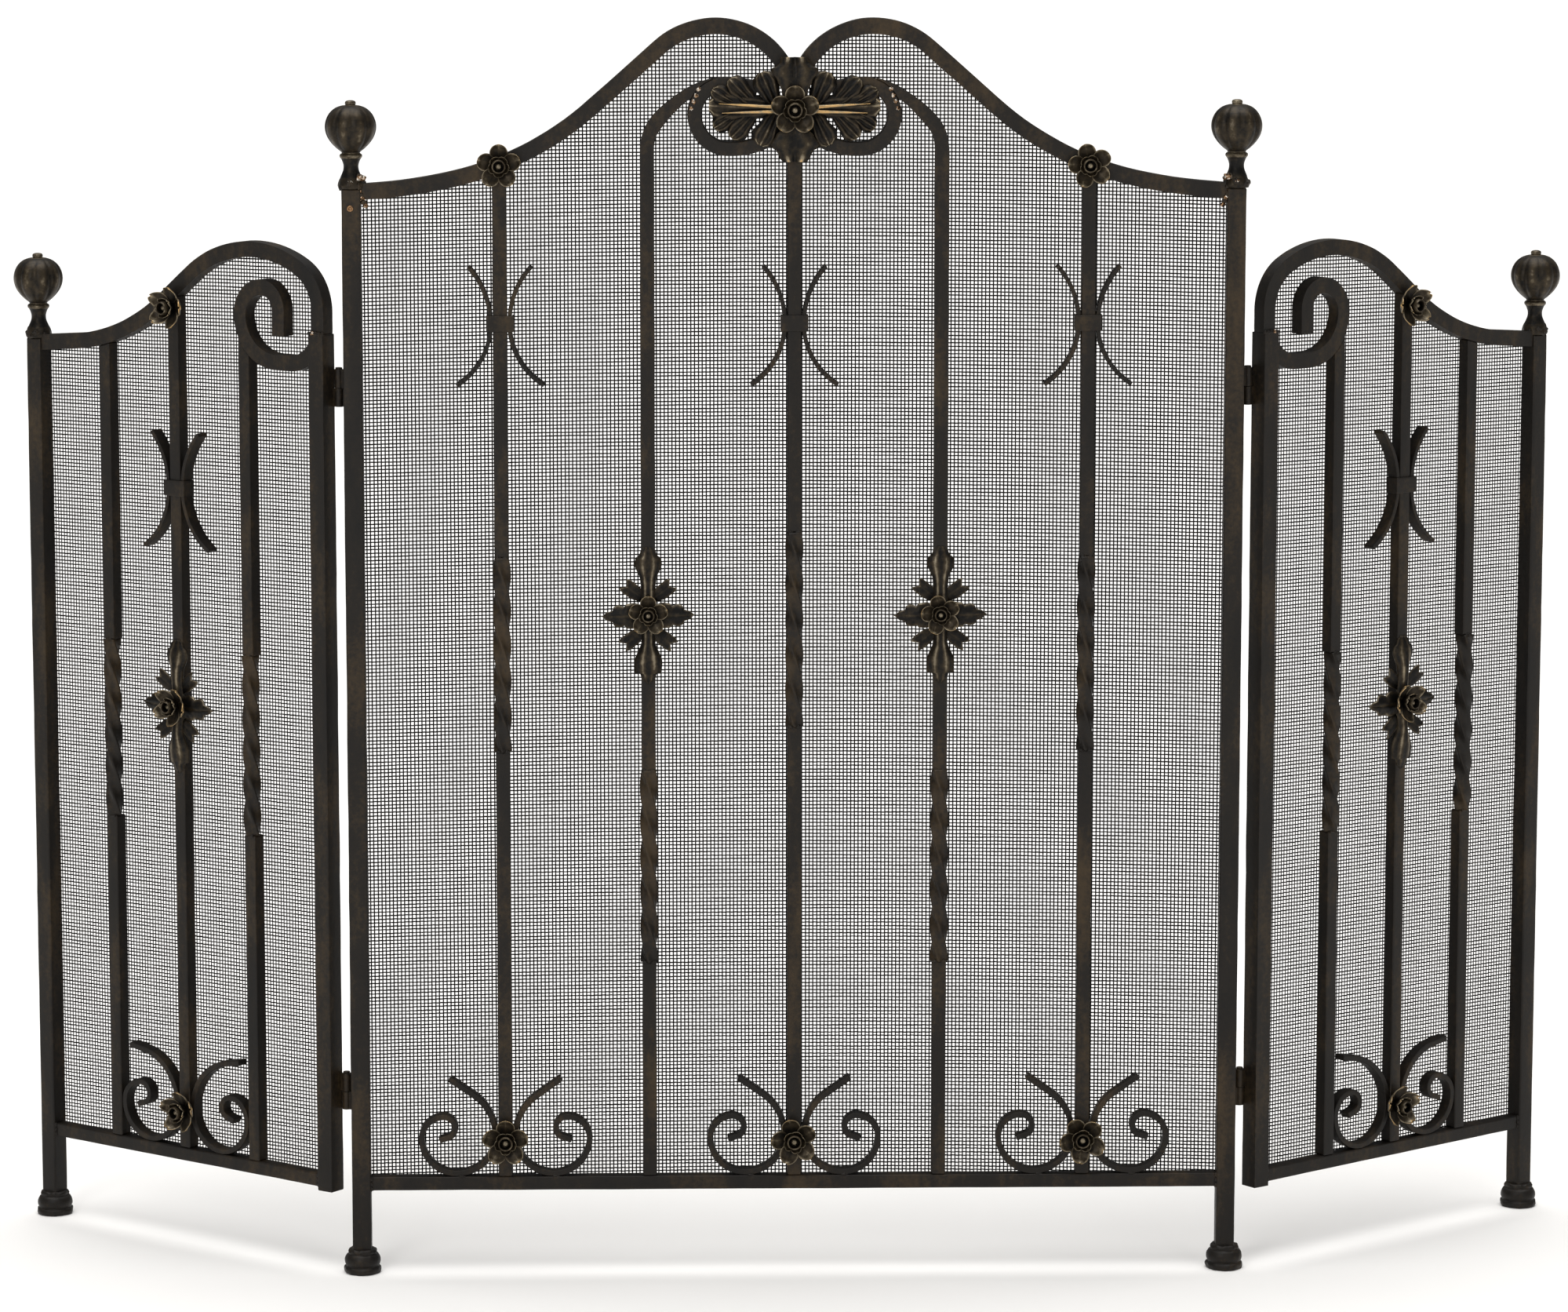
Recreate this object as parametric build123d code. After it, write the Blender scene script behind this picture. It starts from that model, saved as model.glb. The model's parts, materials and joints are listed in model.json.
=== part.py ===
from build123d import *
from math import cos, radians, sin
import os

# Three-fold fireplace screen in forged iron bar: a wide arched centre panel and two narrower
# wings, hung on pin hinges, with fine woven wire behind the bars.
# Frame: X to the right, Y away from the room and towards the fire, Z up, in millimetres.
# The origin is on the floor under the middle of the whole screen. Both wings are modelled folded
# back towards the fire, as the screen stands in use. Until the last loop, which moves everything
# to that origin, y is measured from the middle plane of the centre panel's bars.

# ---- driving dimensions ----
POST = 12.7                 # square bar of the upright posts and stiles
BAR = 9.5                   # square bar of the infill bars and bottom rails
RAIL = 10.5                 # height of the shaped top rails, which are BAR deep
CENTRE_PITCH = 97.5         # spacing of the five centre bars and the two posts
WING_CLEAR = 53.4           # clear gap between a wing's bars, its stile and its outer post
BOTTOM_RAIL_Z = 62.0        # middle of the bottom rails
FOOT_TOP = 14.6
CENTRE_POST_TOP = 735.0
WING_POST_TOP = 620.5
STILE_BOTTOM, STILE_TOP = 55.0, 638.0
WING_FOLD = 37.0            # how far each wing stands folded back, in degrees
HINGE_GAP = 7.0             # between post and stile with the screen opened flat
OVER_ALL = 850.0            # a height above everything, used for trimming

MESH_THICK = 1.2            # two crossing wires
MESH_BOTTOM = 60.0
TWIST_WIDTH = 12.2          # across the ridges of a twisted length
TWIST_TURNS = 1.37
STRAP_X = 2.8               # thickness of the crossed straps
STRAP_SCROLL = 3.9          # thickness of the scroll straps
STRAP_DEPTH = 8.5
LEAF_THICK = 2.4            # pressed leaves
TOUCH = 0.05                # hairline left where a strap is welded to the flat side of a bar
BALL_Z, BALL_R = 39.8, 17.05     # of the ball finials, above the top of the post
CREST_FLOWER, SHALLOW, DEEP = 17.0, 0.51, 0.80   # its radius, and how deep flowers are for theirs

BARREL_R = 3.1
PIN_R = 1.5
PIN_PLAY = 0.06
KNUCKLE = 12.4
KNUCKLE_PLAY = 0.3
HINGE_HEIGHTS = (124.0, 602.0)   # where the two knuckles of each hinge meet

# heights of the ornament
CREST_Z = 786.0
CENTRE_X_Z, WING_X_Z = 645.5, 525.5
CENTRE_SPRAY_Z, WING_SPRAY_Z = 450.0, 375.5
RAIL_FLOWER_Z, BASE_FLOWER_Z = 749.0, 90.0
WING_RAIL_FLOWER_Z, WING_BASE_FLOWER_Z = 648.0, 92.0
TWIST_LENGTH, WING_TWIST_LENGTH = 131.0, 123.0
CENTRE_TWIST_Z = {-2: 358.0, -1: 214.0, 0: 374.5, 1: 214.0, 2: 358.0}   # foot of each, by bar
WING_TWIST_Z = 293.0
WING_BAR_TOPS = (636.0, 660.0, 624.0)     # inside the top rail, which trims them

# bends of the straps and rails: a length for a straight, or a radius and a turn for an arc
CENTRE_RAIL = [10, (330, 9), (210, 28.5), 58.8, (56, -41.5), (52, -80)]
WING_RAIL_START, WING_RAIL_HEADING = 617.6, 175.0
WING_RAIL_ARCH = [31, (152, -33.5), 31, (90, 38.5), (84, 28), (33, 62)]
WING_RAIL_SCROLL = [11, (24.6, 90), 13, (30.6, 90), (19, 90), (14.7, 90), 17]
CREST_SCROLL = [8, (50, -35), 2.5, (22.5, -90), (20, -90), (70, -18)]
X_UPPER, X_LOWER = [(56, 42.5)], [(48.5, -58)]
CENTRE_CURL = [(26, -90), (24, -90), (15, -90), (7.8, -90), (6.6, -72), 6.5]
CENTRE_RISE = [(34, 55), 20]
WING_CURL = [(25.6, -90), (23.6, -90), (15, -90), (7.8, -90), (6.6, -72), 6.5]
WING_RISE = [(37, 80), 12.5]

# ---- places worked out from them ----
POST_X = 3 * CENTRE_PITCH
BACK = BAR / 2              # rear face of the bars, where the woven wire lies
FRONT = -BAR / 2
RAIL_TOP = BOTTOM_RAIL_Z + BAR / 2
AXIS_X = POST_X + POST / 2 + HINGE_GAP / 2
AXIS_Y = POST / 2
STILE_X = HINGE_GAP / 2 + POST / 2
STILE_FACE = STILE_X + POST / 2
WING_BARS = [STILE_FACE + WING_CLEAR * i + BAR * (i - 0.5) for i in (1, 2, 3)]
OUTER_FACE = STILE_FACE + 4 * WING_CLEAR + 3 * BAR
OUTER_POST_X = OUTER_FACE + POST / 2
TWIST_Y = BACK - TWIST_WIDTH / 2 - TOUCH

# the screen reaches from its crest flower in front to the outer finials behind
FRONTMOST = FRONT - 2 * LEAF_THICK - SHALLOW * CREST_FLOWER
OUTER_Y = AXIS_Y + OUTER_POST_X * sin(radians(WING_FOLD)) - AXIS_Y * cos(radians(WING_FOLD))
DEPTH_MIDDLE = (FRONTMOST + OUTER_Y + BALL_R) / 2

parts = {}


def upright(shape):
    """Stands a flat drawing up: its x stays X, its y becomes height and its z comes forward."""
    return Plane.XZ.location * shape


def heading(angle):
    return (cos(radians(angle)), sin(radians(angle)))


def bend(start, angle, moves):
    """A line of straights and tangent arcs. A move is a length, or a pair of radius and turn."""
    edges = []
    point = Vector(*start)
    for move in moves:
        if isinstance(move, tuple):
            edge = JernArc(point, heading(angle), move[0], move[1])
            angle += move[1]
        else:
            edge = Line(point, point + Vector(*heading(angle)) * move)
        edges.append(edge)
        point = edge @ 1
    return Wire([e.edge() if hasattr(e, "edge") else e for e in edges])


def swept_bar(path, width, depth):
    """A rectangular bar bent along a flat path, standing upright about the panel's mid-plane."""
    start = Plane(origin=path @ 0, x_dir=(0, 0, 1), z_dir=path % 0)
    section = start * Rectangle(depth, width)
    return upright(sweep(section, path=path))


def box(x0, x1, y0, y1, z0, z1):
    size = (x1 - x0, y1 - y0, z1 - z0)
    middle = ((x0 + x1) / 2, (y0 + y1) / 2, (z0 + z1) / 2)
    return Pos(*middle) * Box(*size)


def square_bar(x, z0, z1, side=BAR, y=0.0):
    return box(x - side / 2, x + side / 2, y - side / 2, y + side / 2, z0, z1)


def across(shape):
    """The same shape on the other side of the screen."""
    return mirror(shape, about=Plane.YZ)


def group(shapes):
    """Separate solids that share one node."""
    solids = []
    for shape in shapes:
        solids.extend(shape.solids())
    return Compound(children=solids)


# ---- small pieces ----
def foot():
    """Turned bun foot with a wider flange on the floor."""
    profile = Polyline((0, 0), (11.6, 0), (12.4, 1.2), (12.4, 4.2), (11.2, 5.4))
    bulge = ThreePointArc((11.2, 5.4), (11.9, 9.0), (9.0, FOOT_TOP))
    close = Polyline((9.0, FOOT_TOP), (0, FOOT_TOP), (0, 0))
    face = make_face([*profile.edges(), bulge.edge(), *close.edges()])
    return revolve(Plane.XZ.location * face, axis=Axis.Z)


def finial():
    """Ball finial on a waisted neck, with a collar under the ball and a knob on top."""
    knob_r, top = 3.2, 58.0
    base = Polyline((0, 0), (7.9, 0), (8.2, 3.5), (7.2, 8.0))
    waist = Spline((7.2, 8.0), (5.0, 12.5), (4.9, 16.0), (6.6, 19.8))
    collar = Polyline((6.6, 19.8), (6.9, 20.4), (6.9, 22.2), (5.6, 23.6))
    ball = ThreePointArc((5.6, 23.6), (BALL_R, BALL_Z), (knob_r, 56.2))
    knob = Polyline((knob_r, 56.2), (knob_r, 57.1), (1.9, top), (0, top), (0, 0))
    edges = [*base.edges(), waist.edge(), *collar.edges(), ball.edge(), *knob.edges()]
    return revolve(Plane.XZ.location * make_face(edges), axis=Axis.Z)


def twist(x, z0, length=TWIST_LENGTH, hand=-1):
    """A length of square bar twisted cold, as squares turned step by step and joined."""
    steps = 16
    side = TWIST_WIDTH / 2**0.5
    sections = []
    for i in range(steps + 1):
        level = z0 + length * i / steps
        turn = hand * 360 * TWIST_TURNS * i / steps
        sections.append(Pos(x, TWIST_Y, level) * Rot(0, 0, turn) * Rectangle(side, side))
    return loft(sections, ruled=True)


def petals(radius, turn):
    """Outline of five round petals."""
    shape = Circle(0.5 * radius)
    for i in range(5):
        shape += Rot(0, 0, turn + 72 * i) * Pos(0.62 * radius, 0) * Circle(0.38 * radius)
    return shape


def flower(radius, depth=SHALLOW):
    """Two rings of petals with a stud through them, lying flat and facing up."""
    ring = depth * radius / 3
    outer = extrude(petals(radius, 90), ring)
    inner = Pos(0, 0, ring) * extrude(petals(0.66 * radius, 54), ring)
    stud = Pos(0, 0, 1.5 * ring) * Cylinder(0.16 * radius, 3 * ring)
    return outer + inner + stud


def leaf(length, width):
    """Pointed leaf outline from the origin along x."""
    half = (length / 2, width / 2)
    upper = ThreePointArc((0, 0), half, (length, 0))
    lower = ThreePointArc((length, 0), (half[0], -half[1]), (0, 0))
    return make_face([upper.edge(), lower.edge()])


def leaf_spray():
    """Pressed leaves round a flower: a lobed bud above and below, pointed leaves to the sides."""
    shape = Circle(13) + Rectangle(9, 74)
    for turn in (90, -90):
        shape += Rot(0, 0, turn) * Pos(33.5, 0) * Circle(9.3)
        shape += Rot(0, 0, turn) * Pos(34, 0) * Ellipse(12.4, 7)
    for side in (0, 180):
        shape += Rot(0, 0, side) * Pos(8, 0) * leaf(23, 15)
        for turn in (58, -58):
            shape += Rot(0, 0, side + turn) * Pos(7, 0) * leaf(24, 12)
    return extrude(shape, LEAF_THICK)


def x_ornament(x, z):
    """Two straps on edge, back to back against a bar, held by a collar round all three."""
    waist = x - BAR / 2 - STRAP_X / 2 - TOUCH
    upper = bend((waist, z), 90, X_UPPER)
    lower = bend((waist, z), -90, X_LOWER)
    strap = swept_bar(upper, STRAP_X, BAR) + swept_bar(lower, STRAP_X, BAR)
    other = Pos(2 * x, 0, 0) * across(strap)
    inner = BAR / 2 + STRAP_X + 2 * TOUCH + 0.32
    outer = inner + 1.2
    band = box(x - outer, x + outer, FRONT - 1.4, BACK, z - 5.4, z + 5.4)
    band -= box(x - inner, x + inner, FRONT, BACK, z - 5.4, z + 5.4)
    return [strap, other], band


def base_scrolls(x, curl, rise):
    """The pair of straps that rise from a bottom rail beside a bar, each ending in a scroll."""
    side = x - BAR / 2 - STRAP_SCROLL / 2 - TOUCH
    start = (side, RAIL_TOP + STRAP_SCROLL / 2 + curl[0][0])
    lower = swept_bar(bend(start, -90, curl), STRAP_SCROLL, STRAP_DEPTH)
    strap = lower + swept_bar(bend(start, 90, rise), STRAP_SCROLL, STRAP_DEPTH)
    return [strap, Pos(2 * x, 0, 0) * across(strap)]


def below(bar, rail):
    """The part of an upright bar that is under a rail."""
    return (bar - rail).solids().sort_by(Axis.Z)[0]


def on_front(shape, x, z, y=FRONT):
    """Lays a flat piece on the front of the panel."""
    return Pos(x, y, z) * upright(shape)


def knuckle(z0, z1, toward_post, bore):
    """Hinge barrel on the axis, with the short web that is welded to the post or the stile."""
    barrel = Pos(0, 0, (z0 + z1) / 2) * Cylinder(BARREL_R, z1 - z0)
    reach = HINGE_GAP / 2
    web = box(-reach, 0, -2.6, 0, z0, z1) if toward_post else box(0, reach, -2.6, 0, z0, z1)
    return barrel + web - Pos(0, 0, (z0 + z1) / 2) * Cylinder(bore, z1 - z0)


def hinge_pin(z0, z1):
    """Plain pin with a round head."""
    shank = Pos(0, 0, (z0 + z1) / 2) * Cylinder(PIN_R, z1 - z0)
    return shank + Pos(0, 0, z1 + 0.6) * Cylinder(2.3, 1.2)


# ---- centre panel ----
inside = POST_X - POST / 2
rail_path = bend((-inside, 733.0), 4.0, CENTRE_RAIL)
left_finial = Pos(-POST_X, 0, CENTRE_POST_TOP) * finial()
left_rail = swept_bar(rail_path, RAIL, BAR)
left_rail -= box(-POST_X, -inside, -POST, POST, 0, OVER_ALL)
left_rail -= left_finial
left_rail -= box(0, RAIL, -POST, POST, CREST_Z, OVER_ALL)
dip = min(v.Z for v in left_rail.vertices() if v.X > -RAIL)
parts["left_top_rail"] = left_rail
parts["right_top_rail"] = across(left_rail)
parts["centre_finials"] = group([left_finial, across(left_finial)])

post = square_bar(-POST_X, FOOT_TOP, CENTRE_POST_TOP, POST)
parts["left_post"] = post
parts["right_post"] = across(post)
centre_foot = Pos(-POST_X, 0, 0) * foot()
parts["centre_feet"] = group([centre_foot, across(centre_foot)])
parts["bottom_rail"] = box(-inside, inside, FRONT, BACK, BOTTOM_RAIL_Z - BAR / 2, RAIL_TOP)

# crest scrolls, open towards the middle
centre_bar = square_bar(0, CENTRE_TWIST_Z[0] + TWIST_LENGTH, dip)
crest_scroll = swept_bar(bend((-5.7, 774.6), 215, CREST_SCROLL), BAR, BAR)
crest_scroll -= centre_bar
crest_scroll -= left_rail
parts["left_crest_scroll"] = crest_scroll
parts["right_crest_scroll"] = across(crest_scroll)

# bars, numbered from the left; each is an upper bar, a twisted length and a lower bar
edge_bar = square_bar(-2 * CENTRE_PITCH, CENTRE_TWIST_Z[-2] + TWIST_LENGTH, 751)
edge_bar = below(edge_bar, left_rail)
uppers = [centre_bar, edge_bar, across(edge_bar)]
twists, lowers = [], []
for index, twist_z in CENTRE_TWIST_Z.items():
    twists.append(twist(index * CENTRE_PITCH, twist_z))
    lowers.append(square_bar(index * CENTRE_PITCH, RAIL_TOP, twist_z))
parts["centre_upper_bars"] = group(uppers)
parts["centre_twisted_bars"] = group(twists)
parts["centre_lower_bars"] = group(lowers)

# bars 2 and 4 bend over at the top and taper into the crest scrolls
bar_x = -CENTRE_PITCH
bend_foot = CENTRE_TWIST_Z[-1] + TWIST_LENGTH
outer_edge = [
    Line((bar_x - BAR / 2, bend_foot), (bar_x - BAR / 2, 757)),
    Spline((bar_x - BAR / 2, 757), (-97.4, 777.5), (-76, 797.5), (-54, 807.5),
           tangents=[(0, 1), (1, 0.28)]),
]
inner_edge = [
    Line((-54, 800), (-54, 807.5)),
    Spline((-54, 800), (-70, 793), (-86.5, 776.5), (bar_x + BAR / 2, 760),
           tangents=[(-1, -0.3), (0, -1)]),
    Line((bar_x + BAR / 2, 760), (bar_x + BAR / 2, bend_foot)),
    Line((bar_x + BAR / 2, bend_foot), (bar_x - BAR / 2, bend_foot)),
]
bent = make_face([e.edge() for e in outer_edge + inner_edge])
bent_bar = Pos(0, BACK, 0) * upright(extrude(bent, BAR))
bent_bar -= crest_scroll
bent_bar = bent_bar.solids().sort_by(SortBy.VOLUME)[-1]
parts["left_bent_bar"] = bent_bar
parts["right_bent_bar"] = across(bent_bar)

# woven wire sheet, up to the middle line of the top rails
outline = [
    Line((-inside, MESH_BOTTOM), (-inside, (rail_path @ 0).Y)),
    Line(rail_path @ 1, (0, (rail_path @ 1).Y)),
    Line((0, (rail_path @ 1).Y), (0, MESH_BOTTOM)),
    Line((0, MESH_BOTTOM), (-inside, MESH_BOTTOM)),
]
half = make_face([e.edge() for e in outline] + list(rail_path.edges()))
half = Pos(0, BACK + MESH_THICK, 0) * upright(extrude(half, MESH_THICK))
half -= box(0, POST, -POST, POST, 0, OVER_ALL)
parts["centre_mesh"] = half + across(half)

# ornaments
straps, collars = [], []
for index in (-2, 0, 2):
    pair, collar = x_ornament(index * CENTRE_PITCH, CENTRE_X_Z)
    straps += pair
    collars.append(collar)
parts["centre_x_straps"] = group(straps)
parts["centre_x_collars"] = group(collars)

sprays, spray_flowers, rail_flowers = [], [], []
for side in (-CENTRE_PITCH, CENTRE_PITCH):
    sprays.append(on_front(leaf_spray(), side, CENTRE_SPRAY_Z))
    spray_flowers.append(on_front(flower(14), side, CENTRE_SPRAY_Z, FRONT - LEAF_THICK))
    rail_flowers.append(on_front(flower(15.5), 2 * side, RAIL_FLOWER_Z))
parts["leaf_sprays"] = group(sprays)
parts["spray_flowers"] = group(spray_flowers)
parts["rail_flowers"] = group(rail_flowers)

scrolls, base_flowers = [], []
for index in (-2, 0, 2):
    scrolls += base_scrolls(index * CENTRE_PITCH, CENTRE_CURL, CENTRE_RISE)
    base_flowers.append(on_front(flower(16.5), index * CENTRE_PITCH, BASE_FLOWER_Z))
parts["centre_base_scrolls"] = group(scrolls)
parts["base_flowers"] = group(base_flowers)

acanthus = Pos(-30, 0) * Ellipse(26, 16)
lobes = [(-27, 15, 8.2), (-41, 11, 8.5), (-50, 2, 7.2), (-49, -8, 7), (-40, -15, 7), (-26, -16, 8)]
for x, y, radius in lobes:
    acanthus += Pos(x, y) * Circle(radius)
acanthus += mirror(acanthus, about=Plane.YZ)
acanthus += Circle(11)
parts["crest_acanthus"] = on_front(extrude(acanthus, LEAF_THICK), 0, CREST_Z)
half_leaf = Polyline((0, 33.5), (9.5, 33.5), (10.5, 26), (15.8, 20), (8, 9), (8, -10),
                     (15.8, -24), (11, -29), (9, -34.5), (0, -34.5), (0, 33.5))
tall_leaf = make_face(half_leaf.edges())
tall_leaf += mirror(tall_leaf, about=Plane.YZ)
parts["crest_leaf"] = on_front(extrude(tall_leaf, LEAF_THICK), 0, CREST_Z, FRONT - LEAF_THICK)
parts["crest_flower"] = on_front(flower(CREST_FLOWER), 0, CREST_Z, FRONT - 2 * LEAF_THICK)

# hinges: the barrel next to each junction that is welded to the centre post, and its pin
post_knuckles, wing_knuckle_spans, pins = [], [], []
for z, post_above in zip(HINGE_HEIGHTS, (False, True)):
    higher = (z + KNUCKLE_PLAY / 2, z + KNUCKLE)
    lower = (z - KNUCKLE, z - KNUCKLE_PLAY / 2)
    on_post, on_wing = (higher, lower) if post_above else (lower, higher)
    here = Pos(AXIS_X, AXIS_Y, 0)
    post_knuckles.append(here * knuckle(*on_post, True, PIN_R))
    pins.append(here * hinge_pin(z - KNUCKLE, z + KNUCKLE))
    wing_knuckle_spans.append(on_wing)
parts["post_knuckles"] = group(post_knuckles + [across(k) for k in post_knuckles])
parts["hinge_pins"] = group(pins + [across(p) for p in pins])


# ---- wings ----
def wing_pieces(hand):
    """A right wing, opened flat: hinge axis at x = y = 0, its bars' middle plane at y = -AXIS_Y."""
    made = {}
    moves = WING_RAIL_ARCH + WING_RAIL_SCROLL
    path = bend((OUTER_FACE, WING_RAIL_START), WING_RAIL_HEADING, moves)
    cap = Pos(OUTER_POST_X, 0, WING_POST_TOP) * finial()
    rail = swept_bar(path, RAIL, BAR) - cap
    rail -= box(OUTER_FACE, OUTER_POST_X, -POST, POST, 0, OVER_ALL)
    made["finial"] = cap
    made["top_rail"] = rail
    made["post"] = square_bar(OUTER_POST_X, FOOT_TOP, WING_POST_TOP, POST)
    made["foot"] = Pos(OUTER_POST_X, 0, 0) * foot()
    made["stile"] = below(square_bar(STILE_X, STILE_BOTTOM, STILE_TOP, POST), rail)
    rail_low = BOTTOM_RAIL_Z - BAR / 2
    made["bottom_rail"] = box(STILE_FACE, OUTER_FACE, FRONT, BACK, rail_low, RAIL_TOP)

    inner_x, middle_x, outer_x = WING_BARS
    inner_top, middle_top, outer_top = WING_BAR_TOPS
    made["middle_bar"] = below(square_bar(middle_x, RAIL_TOP, middle_top), rail)
    for name, x, top in (("inner_bar", inner_x, inner_top), ("outer_bar", outer_x, outer_top)):
        upper = below(square_bar(x, WING_TWIST_Z + WING_TWIST_LENGTH, top), rail)
        made[name] = group([upper, square_bar(x, RAIL_TOP, WING_TWIST_Z)])
    twists = [twist(x, WING_TWIST_Z, WING_TWIST_LENGTH, hand) for x in (inner_x, outer_x)]
    made["twisted_bars"] = group(twists)

    # woven wire sheet, up to the middle line of the arch
    edge = [e for e in path.edges()][:len(WING_RAIL_ARCH)]
    last = edge[-1] @ 1
    outline = [
        Line((OUTER_FACE, MESH_BOTTOM), edge[0] @ 0),
        Line(last, (last.X, MESH_BOTTOM)),
        Line((last.X, MESH_BOTTOM), (OUTER_FACE, MESH_BOTTOM)),
    ]
    sheet = make_face([e.edge() for e in outline] + edge)
    sheet = Pos(0, BACK + MESH_THICK, 0) * upright(extrude(sheet, MESH_THICK))
    made["mesh"] = sheet - box(0, STILE_FACE, -POST, POST, 0, STILE_TOP)

    pair, collar = x_ornament(middle_x, WING_X_Z)
    made["x_ornament"] = group(pair + [collar])
    made["leaf_spray"] = on_front(leaf_spray(), middle_x, WING_SPRAY_Z)
    made["flowers"] = group([
        on_front(flower(15, DEEP), middle_x, WING_RAIL_FLOWER_Z),
        on_front(flower(14, DEEP), middle_x, WING_SPRAY_Z, FRONT - LEAF_THICK),
        on_front(flower(15, DEEP), middle_x, WING_BASE_FLOWER_Z),
    ])
    made["base_scrolls"] = group(base_scrolls(middle_x, WING_CURL, WING_RISE))
    made = {name: Pos(0, -AXIS_Y, 0) * piece for name, piece in made.items()}
    barrels = [knuckle(z0, z1, False, PIN_R + PIN_PLAY) for z0, z1 in wing_knuckle_spans]
    made["knuckles"] = group(barrels)
    return made


# the left wing is the mirror image of the right one, but its bars are twisted the same way round
fold = Pos(AXIS_X, AXIS_Y, 0) * Rot(0, 0, WING_FOLD)
for name, piece in wing_pieces(hand=-1).items():
    parts["right_wing_" + name] = fold * piece
for name, piece in wing_pieces(hand=1).items():
    parts["left_wing_" + name] = across(fold * piece)

os.makedirs("parts", exist_ok=True)
for name, shape in parts.items():
    export_step(Pos(0, -DEPTH_MIDDLE, 0) * shape, f"parts/{name}.step")
print(len(parts), "nodes; origin", round(DEPTH_MIDDLE, 3), "behind the centre panel's middle plane")
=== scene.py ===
import json
from math import atan2, cos, pi, radians, sin, tau

import bmesh
import bpy
from bmesh.types import BMEdge, BMVert
from mathutils import Matrix, Vector, noise
from mathutils.bvhtree import BVHTree

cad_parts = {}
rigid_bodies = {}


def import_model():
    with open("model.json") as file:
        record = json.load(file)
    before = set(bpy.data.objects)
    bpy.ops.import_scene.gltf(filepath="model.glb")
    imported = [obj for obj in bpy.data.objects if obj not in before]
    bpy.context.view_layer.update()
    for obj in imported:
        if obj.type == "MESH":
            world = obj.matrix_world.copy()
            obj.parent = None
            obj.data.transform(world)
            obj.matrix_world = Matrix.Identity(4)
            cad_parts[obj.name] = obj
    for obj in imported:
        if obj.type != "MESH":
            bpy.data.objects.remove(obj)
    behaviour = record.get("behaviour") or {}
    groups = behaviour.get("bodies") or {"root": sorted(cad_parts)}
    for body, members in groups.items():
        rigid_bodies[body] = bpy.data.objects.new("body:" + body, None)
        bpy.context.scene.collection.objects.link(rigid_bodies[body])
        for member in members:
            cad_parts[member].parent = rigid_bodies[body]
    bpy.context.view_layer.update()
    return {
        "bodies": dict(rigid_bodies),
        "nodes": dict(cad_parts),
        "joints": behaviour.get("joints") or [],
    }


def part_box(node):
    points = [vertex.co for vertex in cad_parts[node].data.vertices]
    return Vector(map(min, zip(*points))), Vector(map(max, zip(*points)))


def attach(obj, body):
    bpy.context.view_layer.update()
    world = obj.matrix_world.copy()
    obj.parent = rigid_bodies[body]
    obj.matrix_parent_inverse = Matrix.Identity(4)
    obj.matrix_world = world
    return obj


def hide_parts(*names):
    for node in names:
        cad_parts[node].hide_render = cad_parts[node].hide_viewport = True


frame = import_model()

bl_info = {
    "name": "Three-fold fireplace screen",
    "version": (1, 0, 0),
    "blender": (4, 5, 0),
    "location": "View3D > Sidebar > Fire Screen",
    "description": "Forged bars, pressed leaves and woven wire, built round the packed screen",
    "category": "Object",
}

# ---- the frame and its places

MM = 0.001
NODES = frame["nodes"]
WING_FOLD = radians(37.0)
WINGS = {"left_wing": -1, "right_wing": 1}

POST_LOW, POST_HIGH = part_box("left_post")
RAIL_LOW, RAIL_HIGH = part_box("bottom_rail")
POST = POST_HIGH.x - POST_LOW.x
BAR = RAIL_HIGH.y - RAIL_LOW.y
BAR_Y = (RAIL_LOW.y + RAIL_HIGH.y) / 2
SAME_SPOT = 0.001 * MM


def panel_place(body):
    """Where a panel stands: panels are worked flat, hinge edge at x 0, bars' middle at y 0."""
    if body not in WINGS:
        return Matrix.Translation((0, BAR_Y, 0))
    hinge = next(j for j in frame["joints"] if j["child"] == body)
    x, y, _ = hinge["pos_m"]
    right = (
        Matrix.Translation((abs(x), y, 0))
        @ Matrix.Rotation(WING_FOLD, 4, "Z")
        @ Matrix.Translation((0, BAR_Y - y, 0))
    )
    return Matrix.Scale(-1, 4, (1, 0, 0)) @ right if x < 0 else right


PLACE = {body: panel_place(body) for body in frame["bodies"]}


def cad_copy(body, *nodes):
    """A merged copy of CAD nodes, laid flat in its panel."""
    bm = bmesh.new()
    for node in nodes:
        bm.from_mesh(NODES[node].data)
    bmesh.ops.remove_doubles(bm, verts=bm.verts, dist=SAME_SPOT)
    bm.transform(PLACE[body].inverted())
    if PLACE[body].determinant() < 0:
        bmesh.ops.reverse_faces(bm, faces=bm.faces)
    return bm


def corners(points):
    """Lowest and highest corner of some points."""
    columns = list(zip(*points))
    return Vector([min(c) for c in columns]), Vector([max(c) for c in columns])


def solid_boxes(body, node):
    """The box of each separate solid in a node, laid flat, from left to right and from below."""
    bm = cad_copy(body, node)
    boxes = []
    unseen = set(bm.verts)
    while unseen:
        solid = [unseen.pop()]
        for vert in solid:
            for edge in vert.link_edges:
                other = edge.other_vert(vert)
                if other in unseen:
                    unseen.remove(other)
                    solid.append(other)
        boxes.append(corners([v.co for v in solid]))
    bm.free()
    return sorted(boxes, key=lambda b: (round(b[0].x, 4), round(b[0].z, 4)))


def on_each(centre, wing):
    """Pairs of body and node: some on the centre panel, and one on each wing."""
    return ([("centre_panel", node) for node in centre]
            + [(body, f"{body}_{wing}") for body in WINGS])


def flat_box(node):
    """The box of a centre node's first solid."""
    return solid_boxes("centre_panel", node)[0]


# ---- finishes

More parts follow.
